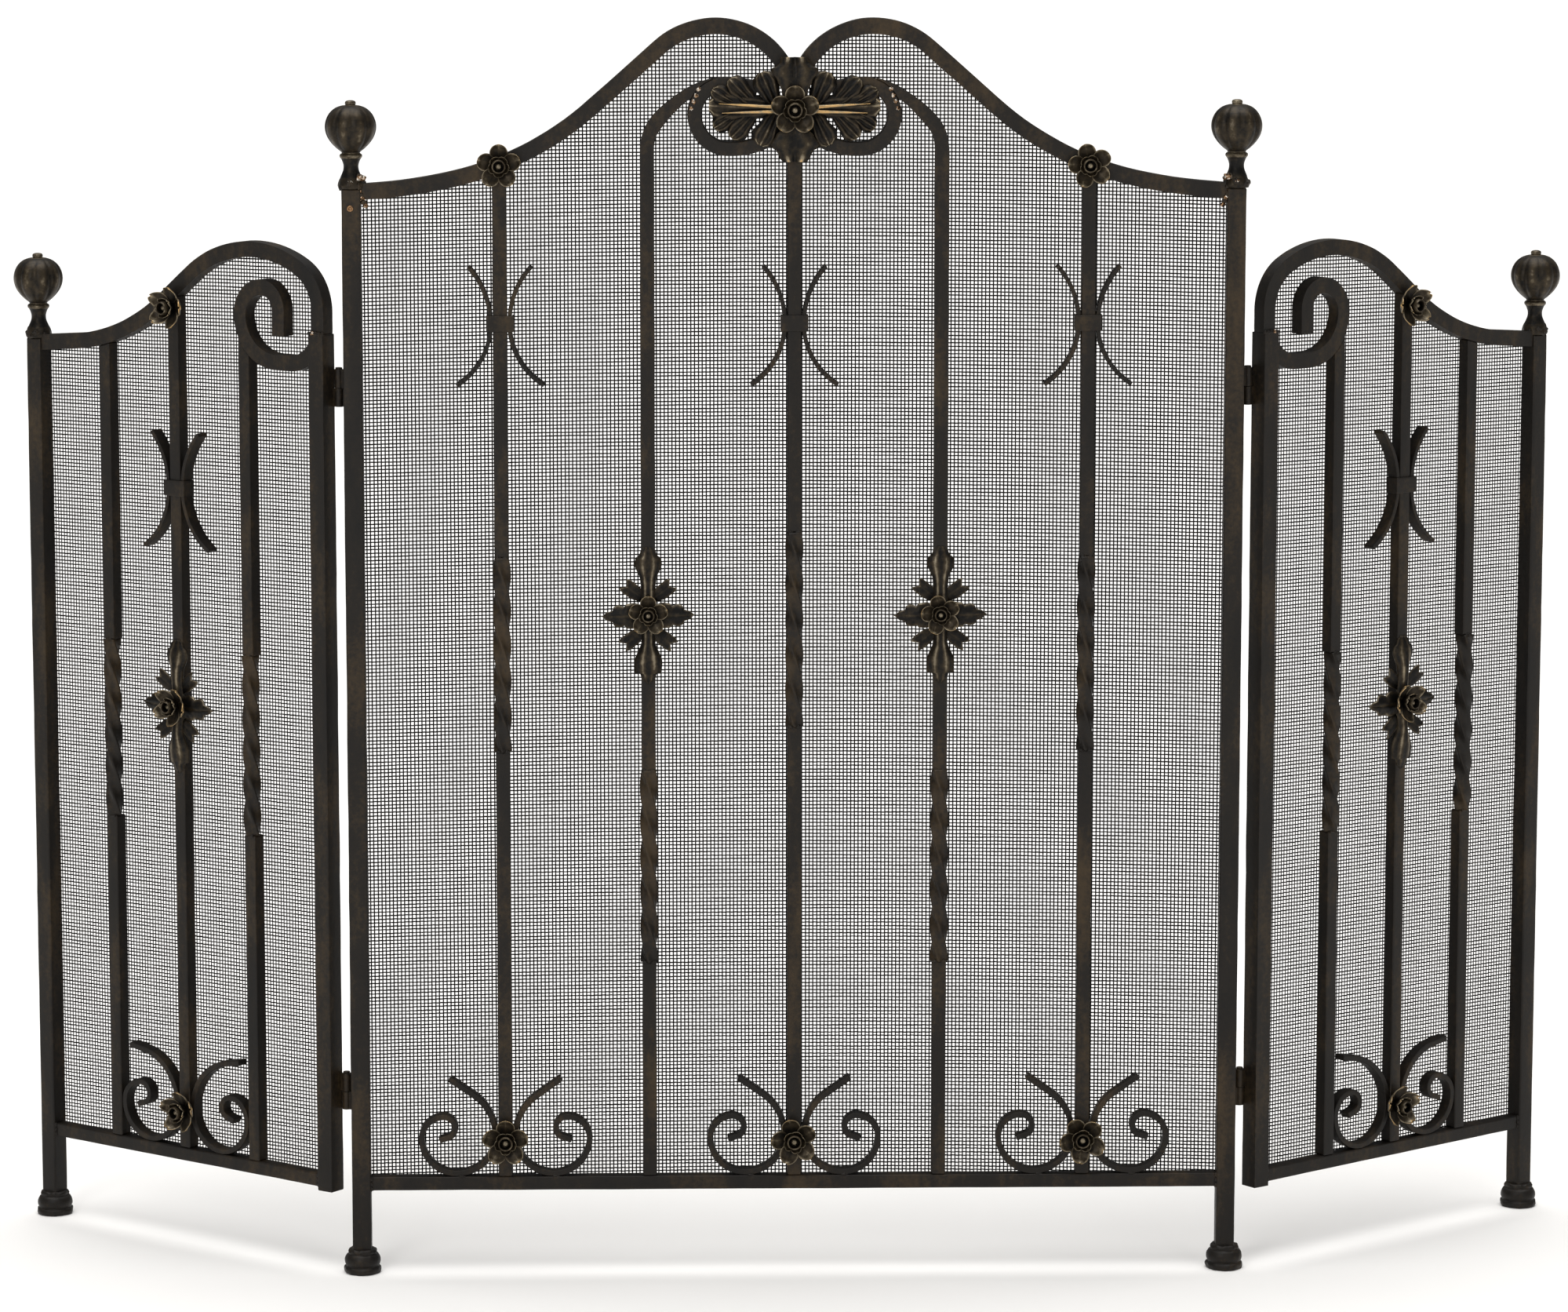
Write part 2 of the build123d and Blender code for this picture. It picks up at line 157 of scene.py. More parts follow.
def srgb(code):
    """A hex colour as the linear colour that shaders use."""
    parts = [int(code[i:i + 2], 16) / 255 for i in (1, 3, 5)]
    return [p / 12.92 if p <= 0.04045 else ((p + 0.055) / 1.055) ** 2.4 for p in parts]


def add(tree, kind, settings=None, **links):
    """Adds a node. Settings are its own choices; links are inputs, given a socket or a value."""
    node = tree.nodes.new("ShaderNode" + kind)
    for key, value in (settings or {}).items():
        setattr(node, key, value)
    for key, value in links.items():
        socket = node.inputs[int(key[1:])] if key[0] == "_" else node.inputs[key.replace("_", " ")]
        if isinstance(value, bpy.types.NodeSocket):
            tree.links.new(value, socket)
        else:
            socket.default_value = value
    return node


def shades(tree, factor, *stops):
    """A colour ramp through (position, linear colour) stops."""
    ramp = add(tree, "ValToRGB", None, Fac=factor)
    line = ramp.color_ramp
    while len(line.elements) < len(stops):
        line.elements.new(0.5)
    for element, (position, colour) in zip(line.elements, stops):
        element.position = position
        element.color = (*colour[:3], 1)
    return ramp.outputs["Color"]


def grain(tree, where, size, detail, roughness=0.5):
    """Noise with features of about one size."""
    return add(tree, "TexNoise", None, Vector=where, Scale=1 / size, Detail=detail,
               Roughness=roughness).outputs["Fac"]


def dents(tree, height, strength, depth):
    """Shallow relief from a height between 0 and 1."""
    return add(tree, "Bump", None, Strength=strength, Distance=depth,
               Height=height).outputs["Normal"]


def material_of(name, fill):
    """The material of that name. If it isn't made yet, fill(tree, colours) gives its shader."""
    if name not in bpy.data.materials:
        material = bpy.data.materials.new(name)
        material.use_nodes = True
        tree = material.node_tree
        tree.nodes.clear()
        shader = fill(tree, bpy.context.scene.fire_screen_finish)
        output = add(tree, "OutputMaterial")
        tree.links.new(shader.outputs["BSDF"], output.inputs["Surface"])
    return bpy.data.materials[name]


def waxed_iron(name="Waxed forged iron", rubbed=0.0):
    """Hot-rolled bar, blackened and waxed: near-black brown, rubbed olive, half gloss."""
    def fill(tree, look):
        here = add(tree, "TexCoord").outputs["Object"]
        drawn = add(tree, "Mapping", None, Vector=here, Scale=(1, 1, 0.3)).outputs["Vector"]
        # wax wiped thin in patches 26 mm wide, drawn out along the uprights
        patches = grain(tree, drawn, 26 * MM, 5.0, 0.6)
        # mill scale in 3 mm flecks, duller than the wax
        scale = grain(tree, here, 3.2 * MM, 4.0, 0.65)
        worn = add(tree, "Math", {"operation": "MULTIPLY_ADD"}, _0=scale, _1=0.45, _2=patches)
        # a shift above 0, as for the twisted iron, moves all stops down and paints the piece
        # lighter: a painted sheen for the highlights on the twists' ridges
        tone = shades(tree, worn.outputs["Value"],
                      (0.50 - rubbed, look.iron_dark), (0.72 - rubbed, look.iron_brown),
                      (0.95 - rubbed, look.iron_rub))
        gloss = add(tree, "MapRange", None, Value=scale, To_Min=0.42, To_Max=0.62)
        # hammer marks 4 mm across break up the long highlights
        pits = grain(tree, here, 4 * MM, 3.0)
        return add(tree, "BsdfPrincipled", None, Base_Color=tone, Metallic=0.2,
                   Specular_IOR_Level=0.3, Roughness=gloss.outputs["Result"],
                   Normal=dents(tree, pits, 0.5, 0.25 * MM))
    return material_of(name, fill)


def pressed_iron(name="Pressed leaf iron"):
    """Pressed sheet, blackened, with the paste wiped off: gold-brown on ribs and rims, partly a
    rubbed finish and partly painted highlight.
    """
    def fill(tree, look):
        here = add(tree, "TexCoord").outputs["Object"]
        # the attribute read here paints ridges, rims and tips lighter: partly rubbed finish,
        # partly painted highlight
        ridge = add(tree, "Attribute", {"attribute_name": "rub_and_highlight"}).outputs["Fac"]
        # wiping leaves blotches about 5 mm wide
        blotch = grain(tree, here, 5 * MM, 5.0, 0.65)
        wiped = add(tree, "Math", {"operation": "MULTIPLY_ADD"}, _0=blotch, _1=0.9, _2=-0.42)
        level = add(tree, "Math", {"operation": "ADD"}, _0=ridge, _1=wiped.outputs["Value"])
        # the steel and gold stops at the light end are partly painted highlight
        tone = shades(tree, level.outputs["Value"],
                      (0.0, look.iron_dark), (0.35, look.leaf_brown), (0.72, look.leaf_steel),
                      (0.98, look.leaf_gold))
        gloss = add(tree, "MapRange", None, Value=level.outputs["Value"], To_Min=0.5, To_Max=0.28)
        # small dents from the press keep the petals from looking moulded
        pits = grain(tree, here, 2.2 * MM, 3.0)
        return add(tree, "BsdfPrincipled", None, Base_Color=tone, Metallic=0.6,
                   Specular_IOR_Level=0.4, Roughness=gloss.outputs["Result"],
                   Normal=dents(tree, pits, 0.4, 0.3 * MM))
    return material_of(name, fill)


def oxide_wire(name="Black oxide wire"):
    """Fine drawn wire, blackened and matt, so that the cloth reads as a dark grey veil."""
    def fill(tree, look):
        here = add(tree, "TexCoord").outputs["Object"]
        # oxide is uneven over a hand's width
        cloud = grain(tree, here, 70 * MM, 2.0)
        tone = shades(tree, cloud, (0.35, look.wire_dark), (0.75, look.wire_brown))
        return add(tree, "BsdfPrincipled", None, Base_Color=tone, Metallic=0.2,
                   Specular_IOR_Level=0.2, Roughness=0.6)
    return material_of(name, fill)


def bare_weld_and_glint(name="Bare weld steel and glint", tan=False):
    """Weld metal left bare under the wax: rippled silver, which is a painted glint, with tan heat
    tint.
    """
    def fill(tree, look):
        here = add(tree, "TexCoord").outputs["Object"]
        # heat tint in bands of 2 to 3 mm
        tint = grain(tree, here, 2.5 * MM, 4.0)
        tone = shades(tree, tint, (0.38, look.weld_tan if tan else look.iron_brown),
                      (0.5, look.weld_tan), (0.6, look.weld_tan if tan else look.weld_silver_glint))
        return add(tree, "BsdfPrincipled", None, Base_Color=tone, Metallic=0.9, Roughness=0.3)
    return material_of(name, fill)


# ---- making and placing pieces

DRESSING_STEP = 9 * MM
SHARP = radians(30)
LEVEL = radians(0.8)


def bounds_of(bm):
    return corners([v.co for v in bm.verts])


def only(kind, geom):
    return [g for g in geom if isinstance(g, kind)]


def as_mesh(bm, name):
    """Puts worked geometry in a new mesh."""
    mesh = bpy.data.meshes.new(name)
    bm.to_mesh(mesh)
    bm.free()
    return mesh


def keep(bm, name, body, nodes, material):
    """Stands a flat-worked piece in its panel and hands it to its body."""
    bm.transform(PLACE[body])
    if PLACE[body].determinant() < 0:
        bmesh.ops.reverse_faces(bm, faces=bm.faces)
    mesh = as_mesh(bm, name)
    mesh.shade_smooth()
    mesh.materials.append(material)
    piece = bpy.data.objects.new(name, mesh)
    bpy.context.scene.collection.objects.link(piece)
    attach(piece, body)
    if nodes:
        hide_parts(*nodes)
    return piece


def hammer(bm, reach=0.2 * MM):
    """Leaves the slow unevenness of hand work on every face, and smaller marks on top."""
    for vert in bm.verts:
        for width, share in ((24 * MM, 1), (7 * MM, 0.35)):
            vert.co += noise.noise_vector(vert.co / width) * reach * share


def round_edges(bm, offset):
    """Wears the long edges round."""
    bmesh.ops.dissolve_limit(bm, angle_limit=LEVEL, verts=bm.verts[:], edges=bm.edges[:])
    sharp = [e for e in bm.edges if e.is_manifold and e.calc_face_angle(0) > SHARP]
    bmesh.ops.bevel(bm, geom=sharp, offset=offset, offset_type="OFFSET", segments=2, profile=0.5,
                    affect="EDGES", material=-1, clamp_overlap=True)


def cut_across(bm, step):
    """Divides long faces, so that they can be shaped."""
    low, high = bounds_of(bm)
    for axis in (0, 2):
        count = int((high[axis] - low[axis]) / step)
        normal = Vector((0, 0, 0))
        normal[axis] = 1
        for index in range(1, count):
            bmesh.ops.bisect_plane(bm, geom=bm.verts[:] + bm.edges[:] + bm.faces[:],
                                   dist=SAME_SPOT, plane_co=low + normal * step * index,
                                   plane_no=normal)


def forged(name, body, nodes, offset):
    """A bar or strap with worn edges, from its own CAD piece."""
    bm = cad_copy(body, *nodes)
    round_edges(bm, offset)
    cut_across(bm, DRESSING_STEP)
    hammer(bm)
    piece = keep(bm, name, body, nodes, waxed_iron())
    # the flats stay flat, and only the worn edges round off
    modifier = piece.modifiers.new("Weighted normals", "WEIGHTED_NORMAL")
    modifier.mode = "FACE_AREA"
    modifier.weight = 60
    modifier.keep_sharp = True


def spun(bm, profile, steps):
    """Turns a profile of (radius, height) pairs round the Z axis and closes it."""
    verts = [bm.verts.new((radius, 0, height)) for radius, height in profile]
    edges = [bm.edges.new(pair) for pair in zip(verts, verts[1:])]
    start = len(bm.verts) - len(verts)
    bmesh.ops.spin(bm, geom=verts + edges, cent=(0, 0, 0), axis=(0, 0, 1), angle=tau,
                   steps=steps, use_merge=True)
    bm.verts.ensure_lookup_table()
    made = bm.verts[start:]
    bmesh.ops.remove_doubles(bm, verts=made, dist=0.01 * MM)
    bmesh.ops.recalc_face_normals(bm, faces=bm.faces)


def smooth_line(points, each):
    """More points along a profile, on a smooth line through the given ones."""
    dense = []
    ends = [points[0], *points, points[-1]]
    for a, b, c, d in zip(ends, ends[1:], ends[2:], ends[3:]):
        for k in range(each):
            t = k / each
            dense.append(tuple(
                0.5 * (2 * q + (r - p) * t + (2 * p - 5 * q + 4 * r - s) * t * t
                       + (3 * q - p - 3 * r + s) * t ** 3)
                for p, q, r, s in zip(a, b, c, d)
            ))
    return dense + [points[-1]]


def eased(*points):
    """A smooth run through (position, value) pairs."""
    def at(t):
        for (a, low), (b, high) in zip(points, points[1:]):
            if t <= b:
                share = max(0.0, (t - a) / (b - a))
                return low + (high - low) * share * share * (3 - 2 * share)
        return points[-1][1]
    return at


# ---- turned pieces

# outlines as (radius, height) in millimetres, with the points to make of each span
FINIAL_LINES = (
    # flared skirt on the post
    ([(8.3, 0.0), (8.7, 2.2), (8.0, 5.4), (6.6, 8.6), (5.2, 12.2), (5.0, 15.6), (6.0, 18.8),
      (6.9, 20.2)], 4),
    # collar
    ([(7.3, 20.6), (7.5, 21.6), (7.1, 22.6), (5.9, 23.4)], 3),
    # ball
    ([(6.4, 24.3), (9.4, 26.6), (12.9, 30.2), (15.7, 34.6), (17.0, 39.6), (16.5, 44.6),
      (14.2, 49.4), (10.2, 53.0), (5.6, 54.7), (3.5, 54.6)], 4),
    # knob
    ([(3.3, 54.9), (3.6, 56.0), (3.3, 57.3), (1.8, 58.0), (0.0, 58.1)], 3),
)
FINIAL_TALL = 58.0
FINIAL_RIBS = 9
FOOT_LINES = (
    # rough flange on the floor
    ([(11.2, 0.0), (12.2, 0.8), (12.6, 2.2), (12.3, 3.9), (11.3, 4.7)], 3),
    # bun
    ([(11.2, 5.2), (12.1, 7.2), (12.0, 9.8), (10.9, 12.2), (9.6, 13.4)], 4),
    # weld round the post, and its top
    ([(9.7, 13.7), (9.9, 14.9), (8.8, 16.4), (7.0, 16.9)], 3),
    ([(0.0, 16.6)], 1),
)
FOOT_TALL = 14.6


def turned_outline(lines, tall):
    """One profile from the lines, stretched upwards by tall."""
    profile = [(0.0, 0.0)]
    for points, each in lines:
        profile += smooth_line(points, each)
    return [(r * MM, z * MM * tall) for r, z in profile]


def turned_finial(middle, foot_z, top_z):
    """Ribbed ball on a waisted neck, with a collar, a knob and a lumpy weld at the bottom."""
    bm = leaf_mesh()
    tall = (top_z - foot_z) / (FINIAL_TALL * MM)
    spun(bm, turned_outline(FINIAL_LINES, tall), 100)
    rub_and_highlight = bm.verts.layers.float["rub_and_highlight"]
    for vert in bm.verts:
        height = vert.co.z / MM / tall
        turn = atan2(vert.co.y, vert.co.x)
        swell = max(0.0, 1 - ((height - 39.5) / 15.5) ** 2)
        # each lobe is round, with a narrow groove beside it
        lobe = abs(sin(turn * FINIAL_RIBS / 2 + 0.35))
        if 24.5 < height < 54.5:
            pull = 1 - 0.085 * swell ** 0.5 * (1 - lobe) ** 2.2
            vert.co.x *= pull
            vert.co.y *= pull
            # the crests of the lobes are painted lighter, as are the knob and collar below: partly
            # rubbed finish, partly painted highlight
            vert[rub_and_highlight] = 0.12 + 0.75 * max(0.0, lobe - 0.72) * swell
        elif height >= 54.5 or 20 < height < 23.8:
            vert[rub_and_highlight] = 0.42
        elif height < 7:
            lump = noise.noise(vert.co / (4.5 * MM)) * 0.7 * MM
            vert.co += Vector((cos(turn), sin(turn), 0)) * lump * min(1, height + 0.2)
            vert[rub_and_highlight] = 0.15
    hammer(bm, 0.12 * MM)
    bmesh.ops.translate(bm, verts=bm.verts, vec=(middle.x, middle.y, foot_z))
    return bm


def turned_foot(middle, top_z):
    """Bun foot on a rough wider flange, with a lumpy weld round the post."""
    bm = bmesh.new()
    spun(bm, turned_outline(FOOT_LINES, top_z / (FOOT_TALL * MM)), 64)
    for vert in bm.verts:
        height = vert.co.z / MM
        out = Vector((vert.co.x, vert.co.y, 0))
        if out.length > MM:
            rough = 0.7 if height < 5 else (0.9 if height > 12.8 else 0.25)
            vert.co += out.normalized() * noise.noise(vert.co / (4.2 * MM)) * rough * MM
        if height > 13:
            vert.co.z += noise.noise(vert.co / (3.6 * MM)) * 0.6 * MM
    bmesh.ops.translate(bm, verts=bm.verts, vec=(middle.x, middle.y, 0))
    return bm


def twisted_length(box, hand, turns):
    """Square bar wrung cold about its own axis: round arrises, slightly hollow flats."""
    low, high = box
    steps = 72
    foot = Vector(((low.x + high.x) / 2, (low.y + high.y) / 2, low.z))
    bm = bmesh.new()
    section = bmesh.ops.create_circle(bm, cap_ends=True, segments=4,
                                      radius=(high.x - low.x) / 2 * 1.08)["verts"]
    bmesh.ops.bevel(bm, geom=section, offset=1.2 * MM, offset_type="OFFSET", segments=3,
                    profile=0.5, affect="VERTICES", material=-1)
    bmesh.ops.delete(bm, geom=bm.faces[:], context="FACES_ONLY")
    flats = [e for e in bm.edges if e.calc_length() > 4 * MM]
    split = bmesh.ops.subdivide_edges(bm, edges=flats, cuts=3)["geom_inner"]
    for vert in only(BMVert, split):
        vert.co *= 0.9
    bmesh.ops.translate(bm, verts=bm.verts, vec=foot)
    bmesh.ops.spin(bm, geom=bm.verts[:] + bm.edges[:], cent=foot, axis=(0, 0, 1),
                   dvec=(0, 0, (high.z - low.z) / steps), angle=hand * turns * tau,
                   steps=steps)
    bmesh.ops.remove_doubles(bm, verts=bm.verts, dist=SAME_SPOT)
    bmesh.ops.holes_fill(bm, edges=[e for e in bm.edges if e.is_boundary], sides=0)
    bmesh.ops.recalc_face_normals(bm, faces=bm.faces)
    return bm


def join(bm, other):
    """Adds a worked piece to another."""
    loose = as_mesh(other, "loose")
    bm.from_mesh(loose)
    bpy.data.meshes.remove(loose)


# ---- pressed leaves and flowers

FACE_FORWARD = Matrix.Rotation(radians(90), 4, "X")


def leaf_mesh():
    """An empty piece that can say where its finish is rubbed."""
    bm = bmesh.new()
    bm.verts.layers.float.new("rub_and_highlight")
    return bm


def blade(bm, length, half_width, relief, rub_and_highlight_at, place, thick, rows, columns):
    """A leaf or petal of sheet: drawn out to its outline, raised, then given its thickness.

    t runs from 0 at the foot to 1 at the tip, and s from -1 to 1 across. Sizes in millimetres."""
    rub_and_highlight = bm.verts.layers.float["rub_and_highlight"]
    before = len(bm.verts)
    made = bmesh.ops.create_grid(bm, x_segments=rows, y_segments=columns, size=1.0)
    faces = set()
    for vert in made["verts"]:
        t, s = 1 - (0.5 - vert.co.x / 2) ** 1.7, vert.co.y
        # how much lighter this point is painted: partly rubbed finish, partly painted highlight
        vert[rub_and_highlight] = rub_and_highlight_at(t, s)
        vert.co = Vector((length * t, s * max(half_width(t), 0.12), relief(t, s))) * MM
        faces.update(vert.link_faces)
    bmesh.ops.solidify(bm, geom=list(faces), thickness=thick * MM)
    bm.verts.ensure_lookup_table()
    bmesh.ops.transform(bm, matrix=place, verts=bm.verts[before:])


def turned(angle, x=0.0, y=0.0):
    """Lays a leaf from (x, y) in millimetres, turned in its plane."""
    return Matrix.Translation(Vector((x, y, 0)) * MM) @ Matrix.Rotation(radians(angle), 4, "Z")


def rim_rub_and_highlight(strong, middle=0.0, field=0.0):
    """Painted lighter along the rim, and over the midrib and the outer half if asked: partly a
    wiped finish, partly painted highlight.
    """
    def at(t, s):
        rim = max(0.0, (abs(s) - 0.7) / 0.3, (t - 0.86) / 0.14)
        rib = max(0.0, 1 - abs(s) / 0.16)
        return strong * rim ** 1.5 * min(1, t * 2.5) + middle * rib + field * t * t
    return at


def round_end(widest, narrow):
    """Half width of a petal: narrow at the foot, with a round tip."""
    def at(t):
        if t < 0.6:
            share = t / 0.6
            return narrow + (widest - narrow) * share * share * (3 - 2 * share)
        return widest * max(0.0, 1 - ((t - 0.6) / 0.405) ** 2) ** 0.5
    return at


# the eye and its stud, as shares of the flower's radius and depth
EYE = [(0.30, 0.20), (0.33, 0.55), (0.31, 0.86), (0.27, 0.93), (0.235, 0.86), (0.225, 0.5),
       (0.20, 0.34)]
STUD = [(0.13, 0.36), (0.125, 0.62), (0.09, 0.74), (0.0, 0.78)]
PETALS = 5


def rosette(bm, radius, depth, place, turn):
    """Five cupped petals, a smaller set inside them, and a stud down in a dark eye."""
    between = 360 / PETALS
    for index in range(PETALS):
        def cup(t, s, lift=0.12 * index):
            edge = 0.50 * depth * t ** 1.3 + 0.10 * depth * max(0, t - 0.8) * 5
            return lift + edge + 0.13 * radius * s * s * t

        def inner_cup(t, s):
            return 0.22 * depth + 0.5 * depth * t ** 1.3 + 0.10 * radius * s * s * t
        angle = turn + between * index
        blade(bm, radius * 0.98, round_end(0.40 * radius, 0.14 * radius), cup,
              rim_rub_and_highlight(0.45, 0.10, 0.42), place @ turned(angle), 1.3, 18, 14)
        blade(bm, radius * 0.47, round_end(0.24 * radius, 0.14 * radius), inner_cup,
              rim_rub_and_highlight(0.4, 0.0, 0.3), place @ turned(angle + between / 2), 1.1, 12, 10)
    sub = leaf_mesh()
    profile = [(0.0, 0.16), *smooth_line(EYE, 3), *smooth_line(STUD, 3)]
    spun(sub, [(r * radius * MM, z * depth * MM) for r, z in profile], 28)
    rub_and_highlight = sub.verts.layers.float["rub_and_highlight"]
    for vert in sub.verts:
        out = vert.co.xy.length / MM / radius
        up = vert.co.z / MM / depth
        # the eye's rim is painted lighter, partly rubbed finish and partly painted highlight; the
        # stud's top is painted bright, a painted glint
        vert[rub_and_highlight] = 0.34 if 0.24 < out < 0.32 and up > 0.75 else 0.02
        if out < 0.13 and up > 0.6:
            vert[rub_and_highlight] = 0.6
    sub.transform(place)
    join(bm, sub)


def leaf_spray(bm, place):
    """Buds above and below, three-pointed leaves to the sides and small split leaves between."""
    def vein(high):
        def at(t, s):
            dome = high * (1 - s * s) * sin(pi * min(1, t * 1.04)) ** 0.6
            return 0.5 + dome - 0.6 * max(0, 1 - abs(s) / 0.14) * (1 - t) ** 0.3
        return at

    # the buds' rounded sides and rims are painted lighter: partly rubbed finish, partly painted
    # highlight
    def bud_rub_and_highlight(t, s):
        side = max(0.0, 1 - abs(abs(s) - 0.42) / 0.3)
        return 0.62 * side * (0.4 + 0.6 * sin(pi * t)) + 0.35 * max(0, abs(s) - 0.8) * 4
    upper = eased((0, 5.2), (0.42, 4.9), (0.52, 5.4), (0.76, 9.2), (0.84, 8.4), (0.88, 6.0),
                  (0.93, 5.2), (1, 2.4))
    lower = eased((0, 5.0), (0.36, 4.6), (0.68, 9.3), (0.83, 8.9), (0.85, 5.4), (0.92, 4.4),
                  (1, 1.2))
    bud = 46.3
    blade(bm, bud, upper, vein(4.2), bud_rub_and_highlight, place @ turned(90), 1.1, 40, 14)
    blade(bm, bud, lower, vein(4.6), bud_rub_and_highlight, place @ turned(-90), 1.1, 40, 14)
    side = eased((0, 5.0), (0.30, 8.6), (0.47, 8.2), (0.50, 6.4), (0.64, 7.4), (0.73, 6.6),
                 (0.76, 3.9), (0.86, 3.0), (1, 0.15))

    def side_relief(t, s):
        wave = 0.7 * sin(t * 17) * abs(s)
        dome = 2.6 * (1 - s * s) * sin(pi * t)
        return 0.6 + dome + wave - 0.9 * max(0, 1 - abs(s) / 0.12)
    for turn in (1, 181):
        blade(bm, 31.2, side, side_relief, rim_rub_and_highlight(0.6, 0.25), place @ turned(turn), 1.0, 44, 12)
    split = eased((0, 3.0), (0.45, 4.9), (0.8, 5.0), (1, 4.0))
    split_long = 15.2

    def split_relief(t, s):
        return 0.5 + 1.5 * (1 - s * s) * t + 1.2 * t * abs(s)
    for x, y, turn in ((-3.5, 11.5, 142), (3.5, 11.5, 38), (-4, -10.5, 217), (4, -10.5, -37)):
        before = len(bm.verts)
        here = place @ turned(turn, x, y)
        blade(bm, split_long, split, split_relief, rim_rub_and_highlight(0.45, 0.1), here, 1.0, 14, 10)
        bm.verts.ensure_lookup_table()
        # the tip is notched between its two points
        back = here.inverted()
        for vert in bm.verts[before:]:
            local = back @ vert.co
            share = local.x / (split_long * MM)
            if share > 0.6:
                across = abs(local.y) / (4.5 * MM)
                local.x += (across - 0.45) * 4.2 * MM * (share - 0.6) / 0.4
                vert.co = here @ local


def crest_leaves(bm, place):
    """Upright leaf, flared and rolled over at both ends."""
    def fold(t, s):
        roll = 3.4 * sin(pi * min(1.0, t) ** 1.3)
        lobes = 2.3 * sin(pi * abs(s)) * t
        return 2.2 + roll * 0.8 + lobes - 1.2 * max(0, 1 - abs(s) / 0.12) * t

    def shine(t, s):
        side = max(0.0, 1 - abs(abs(s) - 0.5) / 0.25)
        tip = max(0, (t - 0.86) / 0.14)
        return (0.5 * t + 0.55 * tip) * side + 0.35 * max(0, abs(s) - 0.85) * 5
    top = eased((0, 7.5), (0.36, 8.6), (0.55, 11.4), (0.72, 15.2), (0.79, 15.4), (0.83, 12.0),
                (0.9, 9.8), (1, 9.0))
    bottom = eased((0, 7.5), (0.34, 7.8), (0.5, 12.6), (0.66, 16.2), (0.74, 14.6), (0.78, 12.0),
                   (0.9, 10.4), (1, 8.4))
    blade(bm, 34.6, top, fold, shine, place @ turned(90), 1.3, 34, 18)
    blade(bm, 34.2, bottom, fold, shine, place @ turned(-90), 1.3, 34, 18)


# length, half width, foot (x, y), turn in degrees and curl of each lobe on the right half
LOBES = (
    (44.0, 11.2, 12.5, 1.0, 2, 1.6),
    (25.0, 8.6, 12.0, 1.5, 66, 3.0),
    (24.0, 7.6, 26.0, 3.0, 45, 2.6),
    (20.0, 6.4, 37.0, 3.0, 30, 2.2),
    (24.5, 8.8, 12.0, -1.5, -64, 3.0),
    (23.0, 7.4, 26.0, -2.0, -46, 2.6),
    (19.0, 6.2, 37.0, -2.0, -32, 2.2),
)
# foot y, turn in degrees and length of the two strands of the midrib
MIDRIB = ((1.7, 3.5, 37.0), (-1.3, -1.5, 35.0))


def acanthus(bm, place, side):
    """Half of the wide crest leaf: curled lobes above and below a doubled midrib."""
    def on_side(turn, x, y):
        return place @ turned(turn if side > 0 else 180 - turn, side * x, y)

    def flutes(s):
        return cos(s * 3.1 * pi)

    # flute ridges and lobe tips are painted lighter: partly rubbed finish, partly painted
    # highlight
    def lobe_rub_and_highlight(t, s):
        ridge = max(0.0, flutes(s)) ** 3
        tip = max(0, (t - 0.85) / 0.15)
        return 0.62 * ridge * (0.35 + 0.65 * t) * (1 - 0.4 * t) + 0.5 * tip

    def rib_relief(t, s):
        return 3.2 + 1.3 * (1 - s * s) - 0.6 * t

    # the midrib is painted light: partly rubbed finish, partly painted highlight
    def rib_rub_and_highlight(t, s):
        return 0.95 * (1 - 0.5 * s * s)
    for length, wide, x, y, turn, curl in LOBES:
        line = eased((0, 0.42 * wide), (0.35, 0.72 * wide), (0.74, wide), (0.9, 0.82 * wide),
                     (1, 0.35 * wide))

        def relief(t, s, curl=curl):
            flute = 0.9 * flutes(s) * min(1, 2.2 * t) * (1 - 0.35 * t)
            roll = curl * sin(pi * min(1, t ** 1.2))
            return 0.8 + roll + flute + 0.9 * t * (1 - s * s)
        blade(bm, length, line, relief, lobe_rub_and_highlight, on_side(turn, x, y), 1.1, 22, 20)
    rib = eased((0, 1.5), (0.5, 1.15), (1, 0.4))
    for y, turn, length in MIDRIB:
        blade(bm, length, rib, rib_relief, rib_rub_and_highlight, on_side(turn, 13.0, y), 1.4, 18, 6)


def on_front(box):
    """A place at the back of a box, in its middle, for a piece worked face up."""
    low, high = box
    middle = (low + high) / 2
    return Matrix.Translation((middle.x, high.y, middle.z)) @ FACE_FORWARD


# ---- welds

def weld_lump(bm, spot, size, seed):
    """A frozen drop of weld metal, half sunk in the joint. Sizes are in millimetres."""
    shift = Vector((seed * 3.7, seed * 1.3, 0))
    for vert in bmesh.ops.create_icosphere(bm, subdivisions=3, radius=1.0)["verts"]:
        swell = 1 + 0.45 * noise.noise(vert.co * 1.6 + shift) + 0.12 * sin(vert.co.x * 9)
        vert.co = spot + Vector([a * b for a, b in zip(vert.co * swell, size)]) * MM


def weld_run(metals, start, stride, size, seed):
    """Overlapping lumps in a row, one in each of the metals."""
    for step, metal in enumerate(metals):
        weld_lump(metal, Vector(start) + Vector(stride) * step * MM, size, seed + step)


def round_skirt(box, height, turn, reach):
    """A spot on the skirt of a finial. Sizes are in millimetres, the turn in degrees."""
    low, high = box
    angle = radians(turn)
    out = Vector((cos(angle), sin(angle), 0)) * reach * MM
    return Vector(((low.x + high.x) / 2, 0, low.z + height * MM)) + out


def keep_weld(bm, name, body, material):
    keep(bm, name, body, [], material)


# ---- woven wire

